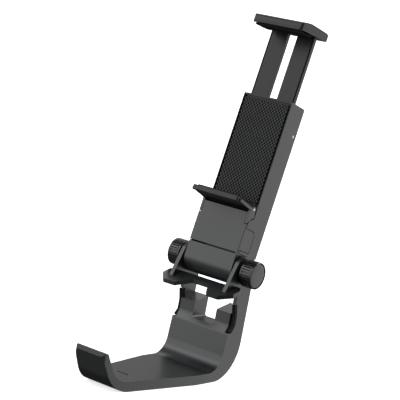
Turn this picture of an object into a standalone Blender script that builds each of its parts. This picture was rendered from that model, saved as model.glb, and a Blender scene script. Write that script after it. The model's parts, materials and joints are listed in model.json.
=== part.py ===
"""Controller phone clip: a cradle that a game controller drops into, and a tilting phone clamp.

The cradle is one moulding: a floor with a hook at the front, a thick wall behind it, two
cheeks that end in ears, and a notched shelf in front of the ears. The clamp arm hangs between
the ears on two screws with ribbed knobs. Its upper jaw slides out on two flat rails, and its
lower jaw folds up against the pad.

Metres, +Z up, +X to the player's right, +Y away from the player. The origin is the centre of
the floor's flat top, where the controller sits.
"""

import math

import bmesh
import bpy
from mathutils import Matrix, Vector

# Clearances
FACE_GAP = 0.0003
PIN_PLAY = 0.0002

# Cradle, side view
SEAT_FRONT_Y = -0.0342
SEAT_BACK_Y = 0.0367
FLOOR_THICKNESS = 0.0048
FLOOR_BACK_BEND = 0.0185
FLOOR_FRONT_BEND = 0.025
SEAT_BACK_RADIUS = 0.009
SEAT_FRONT_RADIUS = 0.012
WALL_FOOT_THICKNESS = 0.0147
UPPER_WALL_THICKNESS = 0.011
RIDGE_HEIGHT = 0.0186
RIDGE_STAND_OUT = 0.0023
RIDGE_FADE = 0.0036
LEDGE_HEIGHT = 0.0285
LEDGE_RISE = 0.0024
HOOK_HEIGHT = 0.014
HOOK_THICKNESS = 0.0034
HOOK_SLOPE = math.radians(30.5)
HOOK_CHAMFER = 0.0015
HOOK_CORNER = 0.003

# Cradle, from above and in front
EAR_GAP = 0.0008
TAPER_START_Y = 0.0188
TAPER = 0.1345
CHEEK_THICKNESS = 0.00195
WINDOW_HALF = 0.0066
WINDOW_SILL = 0.0207
SLIT_HALF = 0.0033
SLIT_Y = -0.0173
SLIT_WIDTH = 0.0006
SLIT_DEPTH = 0.001
BUMPER_WIDTH = 0.002
BUMPER_THICKNESS = 0.0018
BUMPER_FOOT = 0.0193
BUMPER_HEIGHT = 0.0137
BUMPER_SET_BACK = 0.0009
BUMPER_FOOT_REACH = 0.0027
BUMPER_TOP_REACH = 0.0017

# Shelf in front of the ears
SHELF_FRONT_Y = 0.0237
SHELF_FRONT_Z = 0.0388
SHELF_TILT = math.radians(15.6)
SHELF_DEPTH = 0.0144
SHELF_THICKNESS = 0.0021
SHELF_FRONT_INSET = 0.0005
SHELF_TIP_HALF = 0.0095
SHELF_WIDE_OVERHANG = 0.0044
SHELF_BACK_OVERHANG = 0.0025
SHELF_WIDE_DEPTH = 0.006
SHELF_WIDE_END = 0.0115
SHELF_MIDDLE_DEPTH = 0.0132
NOTCH_DEPTH = 0.0082
NOTCH_FLOOR_HALF = 0.0047

# Hinge
HINGE_Y = 0.0421
HINGE_Z = 0.0497
LEAN = math.radians(13.7)
EAR_RADIUS = 0.0076
EAR_FOOT_DEPTH = 0.0052
CHEEK_BACK_HEIGHT = 0.040
BARREL_RADIUS = 0.0075
BARREL_SWEEP = math.radians(20)
BOLT_RADIUS = 0.002
BOLT_REACH = 0.0098
INSERT_RADIUS = 0.0035
INSERT_LENGTH = 0.0068
FRICTION_WASHER_RADIUS = 0.0054
FRICTION_WASHER_THICKNESS = 0.0007
WASHER_RADIUS = 0.0056
WASHER_THICKNESS = 0.0008

# Knobs
KNOB_RADIUS = 0.00674
KNOB_LENGTH = 0.0067
KNOB_RIBS = 30
KNOB_RIB_DEPTH = 0.0005
KNOB_CAP_RADIUS = 0.0061
KNOB_CAP_THICKNESS = 0.0012
BOLT_HEAD_RADIUS = 0.004
BOLT_HEAD_THICKNESS = 0.0026

# Housing: y is depth from the rim's front, z is height over the parting line on the hinge block
HOUSING_HALF = 0.01425
HOUSING_LENGTH = 0.0781
HOUSING_DEPTH = 0.0129
HOUSING_FOOT = 0.00756
SIDE_WALL = 0.0013
BACK_WALL = 0.0015
TOP_WALL = 0.0016
PARTING_GAP = 0.00015
PANEL_STEP = 0.0056
PANEL_WALL = 0.0013
PANEL_SHOULDER_DROP = 0.008
PANEL_TOP_DROP = 0.002
PANEL_LID_DEPTH = 0.005
LUG_DEPTH = 0.0047
LUG_FOOT = 0.0017
LUG_TOP_DROP = 0.0101
LUG_RADIUS = 0.003
TENON_HEIGHT = 0.0124
FRAME_FOOT = 0.0249
RIM_DEPTH = 0.0012
FRAME_DEPTH = 0.0029
PAD_SIDE_RIM = 0.00165
PAD_FOOT_RIM = 0.0006
PAD_TOP_RIM = 0.0018
PAD_THICKNESS = 0.0009
PAD_STAND_OUT = 0.0004
SCREW_HEAD_RADIUS = 0.0017
SCREW_HEAD_THICKNESS = 0.0012
SCREW_SHANK_RADIUS = 0.0008
SCREW_LENGTH = 0.0075
LOWER_SCREW_INSET = 0.00625
LOWER_SCREW_Z = 0.007
UPPER_SCREW_DROPS = (0.0108, 0.0046)
BOSS_RADIUS = 0.0022
SHELL_BOSS_RADIUS = 0.0026
SHELL_BOSS_HEIGHT = 0.002
GUIDE_RIB_X = 0.0068
GUIDE_RIB_WIDTH = 0.0012
STOP_PIN_RADIUS = 0.00075
STOP_PIN_DEPTH = 0.0107
STOP_PIN_DROP = 0.0148

# Lower jaw: y and z from its pin, before it is tipped up
JAW_PIN_DEPTH = -0.0027
JAW_PIN_DROP = 0.0025
JAW_PIN_RADIUS = 0.00075
JAW_TIP_UP = math.radians(9.4)
JAW_BOSS_RADIUS = 0.0015
JAW_ARM_WIDTH = 0.00135
JAW_PLATE_BACK = 0.0024
JAW_LENGTH = 0.0162
JAW_PLATE_LOW = -0.00135
JAW_PLATE_HIGH = 0.00005
JAW_ARM_HIGH = 0.0003
JAW_LIP_INSET = 0.00075
JAW_LIP_LENGTH = 0.0016
JAW_LIP_LOW = -0.0021
JAW_LIP_HIGH = 0.0005
JAW_PAD_INSET = 0.00205
JAW_PAD_LENGTH = 0.0095
JAW_PAD_THICKNESS = 0.0011
HEEL_DROP = 0.0078
HEEL_CLEARANCE = 0.00035

# Upper jaw and its rails: z from the underside of the jaw's front edge
RAIL_ENGAGEMENT = 0.0301
RAIL_INSET = 0.00155
RAIL_SLOT_HALF = 0.0027
RAIL_DEPTH = 0.0032
RAIL_THICKNESS = 0.0024
RAIL_LENGTH = 0.0625
CROSSBAR_LENGTH = 0.011
CROSSBAR_BLOCK_HALF = 0.0045
CROSSBAR_BLOCK_DEPTH = 0.0072
UPPER_JAW_OVERHANG = 0.00015
UPPER_JAW_REACH = 0.0138
UPPER_JAW_BACK = 0.0127
UPPER_JAW_CORNER = 0.002
UPPER_PAD_INSET = 0.0015
UPPER_PAD_FRONT = 0.0122
UPPER_PAD_BACK = 0.0009
UPPER_PAD_THICKNESS = 0.001
UPPER_PAD_RIBS = 9
SPRING_HALF = 0.0022
SPRING_LENGTH = 0.0078
SPRING_THICKNESS = 0.0003
SPRING_POCKET = 0.0006

ARC_STEP = math.radians(15)
ROUND_STEPS = 24
SMALL_ROUND_STEPS = 14
SMALL_RADIUS = 0.0028

SIDE = Matrix(((0, 0, 1, 0), (1, 0, 0, 0), (0, 1, 0, 0), (0, 0, 0, 1)))
FRONT = Matrix(((1, 0, 0, 0), (0, 0, -1, 0), (0, 1, 0, 0), (0, 0, 0, 1)))
PLAN = Matrix.Identity(4)
ALONG_X = Matrix.Rotation(math.pi / 2, 4, "Y")
ALONG_Y = Matrix.Rotation(-math.pi / 2, 4, "X")
TURNED_ROUND = (0, 0, math.pi)


def start_scene():
    """Empty the scene and make the two collections."""
    for obj in list(bpy.data.objects):
        bpy.data.objects.remove(obj, do_unlink=True)
    collections = []
    for name in ("controller_phone_clip", "cutters"):
        collection = bpy.data.collections.new(name)
        bpy.context.scene.collection.children.link(collection)
        collections.append(collection)
    return collections


PARTS, CUTTERS = start_scene()


def material(name, hex_colour, roughness, metallic=0.0):
    """A Principled material from an sRGB hex colour."""
    channels = [int(hex_colour[i:i + 2], 16) / 255 for i in (0, 2, 4)]
    linear = [c / 12.92 if c <= 0.04045 else ((c + 0.055) / 1.055) ** 2.4 for c in channels]
    made = bpy.data.materials.new(name)
    made.use_nodes = True
    shader = made.node_tree.nodes["Principled BSDF"]
    shader.inputs["Base Color"].default_value = (*linear, 1)
    shader.inputs["Roughness"].default_value = roughness
    shader.inputs["Metallic"].default_value = metallic
    made.diffuse_color = (*linear, 1)
    return made


ABS = material("satin_grey_abs", "5a5b5c", 0.5)
DARK_ABS = material("dark_grey_abs", "464748", 0.5)
KNOB_ABS = material("knob_black_abs", "2c2d2e", 0.45)
RUBBER = material("black_rubber", "242526", 0.85)
STEEL = material("zinc_plated_steel", "b9bbbd", 0.3, 1.0)
BRASS = material("brass", "b08d4a", 0.35, 1.0)
NYLON = material("white_nylon", "d8d8d4", 0.5)


def empty(name, parent=None, location=(0, 0, 0), turn=(0, 0, 0)):
    """An empty that carries pieces."""
    made = bpy.data.objects.new(name, None)
    made.empty_display_size = 0.01
    made.location = location
    made.rotation_euler = turn
    made.parent = parent
    PARTS.objects.link(made)
    return made


def arc(centre, radius, start, end):
    """Points on an arc, from one angle to another, both ends included."""
    steps = max(2, math.ceil(abs(end - start) / ARC_STEP))
    angles = [start + (end - start) * i / steps for i in range(steps + 1)]
    return [(centre[0] + radius * math.cos(a), centre[1] + radius * math.sin(a)) for a in angles]


def rounded(corners):
    """A closed outline from corners (a, b) or (a, b, radius), with the radii as arcs."""
    points = []
    for i, corner in enumerate(corners):
        here = Vector(corner[:2])
        radius = corner[2] if len(corner) > 2 else 0
        back = Vector(corners[i - 1][:2]) - here
        ahead = Vector(corners[(i + 1) % len(corners)][:2]) - here
        opening = back.angle(ahead)
        if radius <= 0 or math.pi - opening < 0.01:
            points.append(tuple(here))
            continue
        run = min(radius / math.tan(opening / 2), 0.48 * back.length, 0.48 * ahead.length)
        radius = run * math.tan(opening / 2)
        centre = here + (back.normalized() + ahead.normalized()).normalized() * (
            radius / math.sin(opening / 2))
        first = here + back.normalized() * run - centre
        start = math.atan2(first.y, first.x)
        turn = (math.pi - opening) * (1 if ahead.cross(back) > 0 else -1)
        points.extend(arc(centre, radius, start, start + turn))
    return points


def solid(obj, frame, place, finish):
    """The evaluated object as a plain mesh, placed in its frame, with its seams welded."""
    bpy.context.scene.collection.objects.link(obj)
    graph = bpy.context.evaluated_depsgraph_get()
    mesh = bpy.data.meshes.new_from_object(obj.evaluated_get(graph))
    name = obj.name
    data = obj.data
    bpy.data.objects.remove(obj, do_unlink=True)
    (bpy.data.curves if isinstance(data, bpy.types.Curve) else bpy.data.meshes).remove(data)
    mesh.transform(place)
    shape = bmesh.new()
    shape.from_mesh(mesh)
    bmesh.ops.remove_doubles(shape, verts=shape.verts, dist=1e-6)
    bmesh.ops.dissolve_limit(shape, angle_limit=0.005, verts=shape.verts, edges=shape.edges)
    bmesh.ops.recalc_face_normals(shape, faces=shape.faces)
    shape.to_mesh(mesh)
    shape.free()
    mesh.name = name
    made = bpy.data.objects.new(name, mesh)
    made.parent = frame
    if finish is None:
        made.hide_render = True
        made.display_type = "WIRE"
        CUTTERS.objects.link(made)
    else:
        mesh.materials.clear()
        mesh.materials.append(finish)
        mesh.shade_smooth()
        mesh.set_sharp_from_angle(angle=math.radians(35))
        PARTS.objects.link(made)
    return made


def slab(name, outline, low, high, plane, frame=None, finish=None):
    """A flat outline given thickness from low to high across its plane.

    Side outlines are (y, z) and run along X. Front outlines are (x, z) and run along Y.
    Plan outlines are (x, y) and run along Z. Without a finish the slab is a cutter.
    """
    if plane is FRONT:
        low, high = -high, -low
    curve = bpy.data.curves.new(name, "CURVE")
    curve.dimensions = "2D"
    curve.fill_mode = "BOTH"
    curve.extrude = (high - low) / 2
    spline = curve.splines.new("POLY")
    spline.points.add(len(outline) - 1)
    for point, (a, b) in zip(spline.points, outline):
        point.co = (a, b, 0, 1)
    spline.use_cyclic_u = True
    place = plane @ Matrix.Translation((0, 0, (low + high) / 2))
    return solid(bpy.data.objects.new(name, curve), frame, place, finish)


def block(name, low, high, frame=None, finish=None):
    """A box between two opposite corners."""
    mesh = bpy.data.meshes.new(name)
    shape = bmesh.new()
    bmesh.ops.create_cube(shape, size=1)
    shape.to_mesh(mesh)
    shape.free()
    low, high = Vector(low), Vector(high)
    place = Matrix.LocRotScale((low + high) / 2, None, high - low)
    return solid(bpy.data.objects.new(name, mesh), frame, place, finish)


def turned(name, profile, place, frame=None, finish=None, steps=ROUND_STEPS):
    """A closed profile of (radius, height) points spun round Z, then put in place."""
    mesh = bpy.data.meshes.new(name)
    shape = bmesh.new()
    ring = [shape.verts.new((radius, 0, height)) for radius, height in profile]
    for first, second in zip(ring, ring[1:] + ring[:1]):
        if profile[ring.index(first)][0] > 0 or profile[ring.index(second)][0] > 0:
            shape.edges.new((first, second))
    shape.to_mesh(mesh)
    shape.free()
    obj = bpy.data.objects.new(name, mesh)
    spin = obj.modifiers.new("spin", "SCREW")
    spin.axis = "Z"
    spin.steps = steps
    spin.render_steps = steps
    spin.use_merge_vertices = True
    spin.merge_threshold = 0.000001
    return solid(obj, frame, place, finish)


def rod(name, radius, start, end, axis, centre=(0, 0, 0), frame=None, finish=None, chamfer=0.0):
    """A round bar along an axis, from start to end, through a centre point."""
    profile = [(0, end), (radius - chamfer, end), (radius, end - chamfer),
               (radius, start + chamfer), (radius - chamfer, start), (0, start)]
    if chamfer == 0:
        profile = [(0, end), (radius, end), (radius, start), (0, start)]
    steps = SMALL_ROUND_STEPS if radius < SMALL_RADIUS else ROUND_STEPS
    return turned(name, profile, Matrix.Translation(centre) @ axis, frame, finish, steps)


def ring_profile(inner, outer, low, high, chamfer):
    """The profile of a washer or bush with its outer edges broken."""
    return [(inner, high), (outer - chamfer, high), (outer, high - chamfer),
            (outer, low + chamfer), (outer - chamfer, low), (inner, low)]


def boolean(target, tool, operation):
    """A Boolean that stays live on the target, with its tool kept as a hidden cutter."""
    step = target.modifiers.new(tool.name, "BOOLEAN")
    step.operation = operation
    step.solver = "EXACT"
    step.object = tool


def cut(target, *tools):
    for tool in tools:
        boolean(target, tool, "DIFFERENCE")


def join(target, *tools):
    for tool in tools:
        boolean(target, tool, "UNION")


def weld_slivers(target):
    """Join the points that the steps before leave a few microns apart."""
    weld = target.modifiers.new("weld", "WELD")
    weld.merge_threshold = 0.000005


def soften(target, width, segments=1):
    """Merge the flat faces that the Booleans leave, then round the sharp edges."""
    flatten = target.modifiers.new("flatten", "DECIMATE")
    flatten.decimate_type = "DISSOLVE"
    flatten.angle_limit = math.radians(0.5)
    edge = target.modifiers.new("edges", "BEVEL")
    edge.width = width
    edge.segments = segments
    edge.limit_method = "ANGLE"
    edge.angle_limit = math.radians(50)
    weld_slivers(target)


def tangent_angle(point, centre, radius, side):
    """The angle on a circle where the line from an outside point touches it."""
    away = Vector(point) - Vector(centre)
    return math.atan2(away.y, away.x) + side * math.acos(radius / away.length)


# Places shared by several pieces
CHEEK_INNER = HOUSING_HALF + EAR_GAP
CRADLE_HALF = CHEEK_INNER + CHEEK_THICKNESS
SHELF_FRONT_HALF = CRADLE_HALF - SHELF_FRONT_INSET
SHELF_WIDE_HALF = CRADLE_HALF + SHELF_WIDE_OVERHANG
SHELF_BACK_HALF = CRADLE_HALF + SHELF_BACK_OVERHANG
BOLT_INNER_END = CRADLE_HALF - BOLT_REACH
PAD_HALF = HOUSING_HALF - PAD_SIDE_RIM
LOWER_SCREW_X = HOUSING_HALF - LOWER_SCREW_INSET
JAW_PIN_Z = FRAME_FOOT - JAW_PIN_DROP
PANEL_TOP = JAW_PIN_Z - PANEL_TOP_DROP
PANEL_SHOULDER = JAW_PIN_Z - PANEL_SHOULDER_DROP
LUG_TOP = JAW_PIN_Z - LUG_TOP_DROP
JAW_LIP_HALF = HOUSING_HALF - JAW_LIP_INSET
JAW_PAD_HALF = HOUSING_HALF - JAW_PAD_INSET
RAIL_HALF = HOUSING_HALF - RAIL_INSET
UPPER_JAW_HALF = HOUSING_HALF + UPPER_JAW_OVERHANG
UPPER_PAD_HALF = UPPER_JAW_HALF - UPPER_PAD_INSET
WALL_BACK_Y = SEAT_BACK_Y + WALL_FOOT_THICKNESS
WALL_FRONT_Y = WALL_BACK_Y - UPPER_WALL_THICKNESS
HINGE = (HINGE_Y, HINGE_Z)
PANEL_FRONT = -PANEL_STEP
PANEL_INNER = PANEL_FRONT + PANEL_WALL
CAVITY_HALF = HOUSING_HALF - SIDE_WALL
CAVITY_BACK = HOUSING_DEPTH - BACK_WALL
INNER_HALF = CAVITY_HALF - FACE_GAP
SHELL_RIM = RIM_DEPTH + FACE_GAP
WASHER_SEAT = CHEEK_INNER - 2 * FACE_GAP - FRICTION_WASHER_THICKNESS
KNOB_START = CRADLE_HALF + WASHER_THICKNESS + 2 * FACE_GAP
KNOB_END = KNOB_START + KNOB_LENGTH
BOLT_BORE = BOLT_RADIUS + PIN_PLAY
RAIL_BACK = RAIL_DEPTH + RAIL_THICKNESS
JAW_EXTENSION = RAIL_LENGTH - RAIL_ENGAGEMENT
PAD_FOOT = FRAME_FOOT + PAD_FOOT_RIM
PAD_TOP = HOUSING_LENGTH - PAD_TOP_RIM
STOP_PIN_Z = HOUSING_LENGTH - STOP_PIN_DROP
UPPER_SCREW_Z = [HOUSING_LENGTH - drop for drop in UPPER_SCREW_DROPS]
JAW_ARM_INNER = HOUSING_HALF - JAW_ARM_WIDTH
SHELL_SCREWS = [(-LOWER_SCREW_X, LOWER_SCREW_Z), (LOWER_SCREW_X, LOWER_SCREW_Z),
                (0, UPPER_SCREW_Z[0]), (0, UPPER_SCREW_Z[1])]

arm_axis = empty("arm_axis", None, (0, HINGE_Y, HINGE_Z), (-LEAN, 0, 0))
housing = empty("housing_frame", arm_axis, (0, PANEL_STEP - BARREL_RADIUS, HOUSING_FOOT))
fold_axis = empty("fold_axis", housing, (0, JAW_PIN_DEPTH, JAW_PIN_Z), (-JAW_TIP_UP, 0, 0))
slide_axis = empty("slide_axis", housing, (0, 0, HOUSING_LENGTH + JAW_EXTENSION))


def shelf_frame():
    """A frame on the shelf's front top edge, with y running up the shelf."""
    return empty("shelf_frame", None, (0, SHELF_FRONT_Y, SHELF_FRONT_Z), (SHELF_TILT, 0, 0))


def hook_outer_y(height):
    """Where the hook's outer face is at a height."""
    lean = math.tan(HOOK_SLOPE)
    return SEAT_FRONT_Y - HOOK_THICKNESS / math.cos(HOOK_SLOPE) - height * lean


def cradle_side_outline():
    """The cradle's side view, from the hook along the outside to the ear and back inside."""
    lean = math.tan(HOOK_SLOPE)
    outer_corner = hook_outer_y(-FLOOR_THICKNESS)
    hook_inner = SEAT_FRONT_Y - HOOK_HEIGHT * lean
    hook_outer = hook_outer_y(HOOK_HEIGHT)
    shelf_rise = math.tan(SHELF_TILT)
    foot_y = SHELF_FRONT_Y + EAR_FOOT_DEPTH
    foot_z = SHELF_FRONT_Z + EAR_FOOT_DEPTH * shelf_rise
    under = SHELF_THICKNESS / math.cos(SHELF_TILT) - FACE_GAP
    cheek_back = (WALL_BACK_Y, CHEEK_BACK_HEIGHT)
    rear = tangent_angle(cheek_back, HINGE, EAR_RADIUS, 1)
    front = tangent_angle((foot_y, foot_z), HINGE, EAR_RADIUS, -1) + 2 * math.pi
    return rounded([
        (hook_outer + HOOK_CHAMFER * lean, HOOK_HEIGHT - HOOK_CHAMFER),
        (outer_corner, -FLOOR_THICKNESS, FLOOR_FRONT_BEND),
        (WALL_BACK_Y, -FLOOR_THICKNESS, FLOOR_BACK_BEND),
        (*cheek_back, 0.006),
        *arc(HINGE, EAR_RADIUS, rear, front),
        (foot_y, foot_z),
        (foot_y, foot_z - under),
        (WALL_FRONT_Y, foot_z - under + (WALL_FRONT_Y - foot_y) * shelf_rise, 0.0015),
        (WALL_FRONT_Y, RIDGE_HEIGHT + RIDGE_FADE, 0.0025),
        (WALL_FRONT_Y - RIDGE_STAND_OUT, RIDGE_HEIGHT, 0.002),
        (SEAT_BACK_Y, 0, SEAT_BACK_RADIUS),
        (SEAT_FRONT_Y, 0, SEAT_FRONT_RADIUS),
        (hook_inner, HOOK_HEIGHT, 0.0006),
        (hook_inner - HOOK_CHAMFER, HOOK_HEIGHT),
    ])


def make_shelf():
    """The notched plate in front of the ears, as a joining tool, cut short under the barrel."""
    half = [(SHELF_TIP_HALF, 0, 0.0006), (SHELF_FRONT_HALF, 0, 0.0015),
            (SHELF_WIDE_HALF, SHELF_WIDE_DEPTH, 0.0008), (SHELF_WIDE_HALF, SHELF_WIDE_END, 0.0015),
            (SHELF_BACK_HALF, SHELF_DEPTH, 0.0012)]
    notch = [(-NOTCH_FLOOR_HALF, NOTCH_DEPTH, 0.0008), (NOTCH_FLOOR_HALF, NOTCH_DEPTH, 0.0008)]
    inner = CRADLE_HALF - CHEEK_THICKNESS / 2
    half += [(inner, SHELF_DEPTH, 0), (inner, SHELF_MIDDLE_DEPTH, 0)]
    mirrored = [(-x, y, r) for x, y, r in reversed(half)]
    outline = rounded(half + mirrored + notch)
    return slab("shelf_tool", outline, -SHELF_THICKNESS, 0, PLAN, shelf_frame())


def make_cradle():
    """One moulding: side view crossed with plan view, hollowed between the cheeks."""
    past = 0.003
    cradle = slab("cradle", cradle_side_outline(), -CRADLE_HALF - past, CRADLE_HALF + past, SIDE,
                  None, ABS)
    front_y = hook_outer_y(HOOK_HEIGHT - HOOK_CHAMFER) - FACE_GAP
    front_half = CRADLE_HALF - TAPER * (TAPER_START_Y - front_y)
    plan = [(front_half, front_y, HOOK_CORNER), (CRADLE_HALF, TAPER_START_Y, 0),
            (CRADLE_HALF, WALL_BACK_Y + past, 0)]
    plan = rounded(plan + [(-x, y, radius) for x, y, radius in reversed(plan)])
    deep = FLOOR_THICKNESS + past
    high = HINGE_Z + EAR_RADIUS + past
    boolean(cradle, slab("plan_tool", plan, -deep, high, PLAN), "INTERSECT")
    ledge_slope = LEDGE_RISE / UPPER_WALL_THICKNESS
    between = [(SHELF_FRONT_Y, LEDGE_HEIGHT - (WALL_FRONT_Y - SHELF_FRONT_Y) * ledge_slope),
               (WALL_BACK_Y + past, LEDGE_HEIGHT + LEDGE_RISE + past * ledge_slope),
               (WALL_BACK_Y + past, high), (SHELF_FRONT_Y, high)]
    cut(cradle, slab("cheek_space_cutter", between, -CHEEK_INNER, CHEEK_INNER, SIDE))
    join(cradle, make_shelf())
    window = rounded([(-WINDOW_HALF, WINDOW_SILL, 0.0012), (WINDOW_HALF, WINDOW_SILL, 0.0012),
                      (WINDOW_HALF, LEDGE_HEIGHT + LEDGE_RISE + past),
                      (-WINDOW_HALF, LEDGE_HEIGHT + LEDGE_RISE + past)])
    cut(cradle, slab("window_cutter", window, SEAT_BACK_Y - past, WALL_BACK_Y + past, FRONT))
    cut(cradle, block("slit_cutter", (-SLIT_HALF, SLIT_Y - SLIT_WIDTH / 2, -SLIT_DEPTH),
                      (SLIT_HALF, SLIT_Y + SLIT_WIDTH / 2, past)))
    for side in (-1, 1):
        ends = sorted((side * (CRADLE_HALF - BUMPER_WIDTH), side * (CRADLE_HALF + past)))
        cut(cradle, slab("bumper_seat_cutter", bumper_outline(FACE_GAP, past), *ends, SIDE))
    cut(cradle, rod("ear_bore_cutter", BOLT_BORE, -CRADLE_HALF - past, CRADLE_HALF + past, ALONG_X,
                    (0, *HINGE)))
    soften(cradle, 0.0005, 2)


def bumper_outline(grow, forward):
    """The rubber strip's side view, hollowed for the controller's back, or its seat in the cheek."""
    face = WALL_FRONT_Y + BUMPER_SET_BACK
    back = face + BUMPER_THICKNESS + grow
    low, high = BUMPER_FOOT - grow, BUMPER_FOOT + BUMPER_HEIGHT + grow
    flat_low, flat_high = BUMPER_FOOT + 0.0031, BUMPER_FOOT + 0.0079
    front = [(face - BUMPER_TOP_REACH, high), (face, flat_high, 0.006), (face, flat_low, 0.001),
             (face - BUMPER_FOOT_REACH, low, 0.0007)]
    if forward > 0:
        front = [(SEAT_BACK_Y - forward, high), (SEAT_BACK_Y - forward, low)]
    return rounded(front + [(back - BUMPER_THICKNESS, low, 0.0012), (back, flat_low, 0.003),
                            (back, flat_high, 0.006), (back - BUMPER_TOP_REACH, high)])


def make_bumpers():
    """Rubber strips let into the cheeks' front edges, which meet the controller's back."""
    inner = CRADLE_HALF - BUMPER_WIDTH + FACE_GAP
    for side, name in ((-1, "bumper_left"), (1, "bumper_right")):
        ends = sorted((side * inner, side * (CRADLE_HALF + PIN_PLAY / 2)))
        soften(slab(name, bumper_outline(0, 0), *ends, SIDE, None, RUBBER), 0.00025)


def make_pair(name, make, parent, place):
    """A piece at the right end of the hinge, and its twin turned round for the left end."""
    for side, turn in (("right", (0, 0, 0)), ("left", TURNED_ROUND)):
        full_name = f"{name}_{side}"
        make(full_name, empty(full_name + "_axis", parent, place, turn))


def ribbed_outline():
    """The knob's round outline with flat-topped ribs."""
    pitch = 2 * math.pi / KNOB_RIBS
    outline = []
    for rib in range(KNOB_RIBS):
        for share, radius in ((0.0, KNOB_RADIUS), (0.5, KNOB_RADIUS),
                              (0.6, KNOB_RADIUS - KNOB_RIB_DEPTH),
                              (0.9, KNOB_RADIUS - KNOB_RIB_DEPTH)):
            angle = (rib + share) * pitch
            outline.append((radius * math.cos(angle), radius * math.sin(angle)))
    return outline


def hexagon(radius):
    return [(radius * math.cos(math.pi * i / 3), radius * math.sin(math.pi * i / 3))
            for i in range(6)]


def make_knob(name, axis):
    """A ribbed knob with a hexagonal pocket for the bolt's head and a recess for its cap."""
    knob = slab(name, ribbed_outline(), KNOB_START, KNOB_END, SIDE, axis, KNOB_ABS)
    rim = 0.0006
    shape = [(0, KNOB_END + rim), (KNOB_CAP_RADIUS + FACE_GAP, KNOB_END),
             (KNOB_RADIUS + rim, KNOB_END - 2 * rim), (KNOB_RADIUS + rim, KNOB_START + rim),
             (KNOB_RADIUS - rim, KNOB_START - rim), (0, KNOB_START - rim)]
    boolean(knob, turned(name + "_rim_tool", shape, ALONG_X, axis), "INTERSECT")
    cap_floor = KNOB_END - KNOB_CAP_THICKNESS
    pocket_floor = cap_floor - BOLT_HEAD_THICKNESS - 2 * FACE_GAP
    cut(knob,
        rod(name + "_cap_cutter", KNOB_CAP_RADIUS + FACE_GAP, cap_floor, KNOB_END + rim, ALONG_X,
            frame=axis),
        slab(name + "_hex_cutter", hexagon(BOLT_HEAD_RADIUS + FACE_GAP), pocket_floor, KNOB_END,
             SIDE, axis),
        rod(name + "_bore_cutter", BOLT_BORE, KNOB_START - rim, KNOB_END, ALONG_X, frame=axis))
    weld_slivers(knob)


def make_knob_cap(name, axis):
    """The smooth disc that closes the knob, slightly domed."""
    low = KNOB_END - KNOB_CAP_THICKNESS + FACE_GAP
    dome = 0.0003
    profile = [(0, KNOB_END), (0.6 * KNOB_CAP_RADIUS, KNOB_END - 0.3 * dome),
               (KNOB_CAP_RADIUS - dome, KNOB_END - dome),
               (KNOB_CAP_RADIUS, KNOB_END - 2 * dome), (KNOB_CAP_RADIUS, low), (0, low)]
    turned(name, profile, ALONG_X, axis, ABS, 36)


def make_knob_screw(name, axis):
    """A steel bolt: its hexagonal head sits in the knob and its shank ends in the insert."""
    head_end = KNOB_END - KNOB_CAP_THICKNESS - FACE_GAP
    head_start = head_end - BOLT_HEAD_THICKNESS
    screw = slab(name, hexagon(BOLT_HEAD_RADIUS), head_start, head_end, SIDE, axis, STEEL)
    shank = rod(name + "_shank_tool", BOLT_RADIUS, BOLT_INNER_END, head_end - FACE_GAP, ALONG_X,
                frame=axis, chamfer=0.0004)
    join(screw, shank)


def make_washer(name, axis):
    profile = ring_profile(BOLT_BORE, WASHER_RADIUS, CRADLE_HALF + FACE_GAP,
                           CRADLE_HALF + FACE_GAP + WASHER_THICKNESS, 0.00015)
    turned(name, profile, ALONG_X, axis, STEEL)


def make_friction_washer(name, axis):
    start = WASHER_SEAT + FACE_GAP
    profile = ring_profile(BOLT_BORE, FRICTION_WASHER_RADIUS, start,
                           start + FRICTION_WASHER_THICKNESS, 0.00012)
    turned(name, profile, ALONG_X, axis, NYLON)


def make_insert(name, axis):
    """The brass nut pressed into each end of the barrel, with a groove round its middle."""
    start = WASHER_SEAT - FACE_GAP - INSERT_LENGTH
    end = start + INSERT_LENGTH
    middle = (start + end) / 2
    groove = 0.0004
    profile = [(BOLT_BORE, end), (INSERT_RADIUS, end), (INSERT_RADIUS, middle + 2 * groove),
               (INSERT_RADIUS - groove, middle + groove), (INSERT_RADIUS - groove, middle - groove),
               (INSERT_RADIUS, middle - 2 * groove), (INSERT_RADIUS, start), (BOLT_BORE, start)]
    turned(name, profile, ALONG_X, axis, BRASS)


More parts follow.
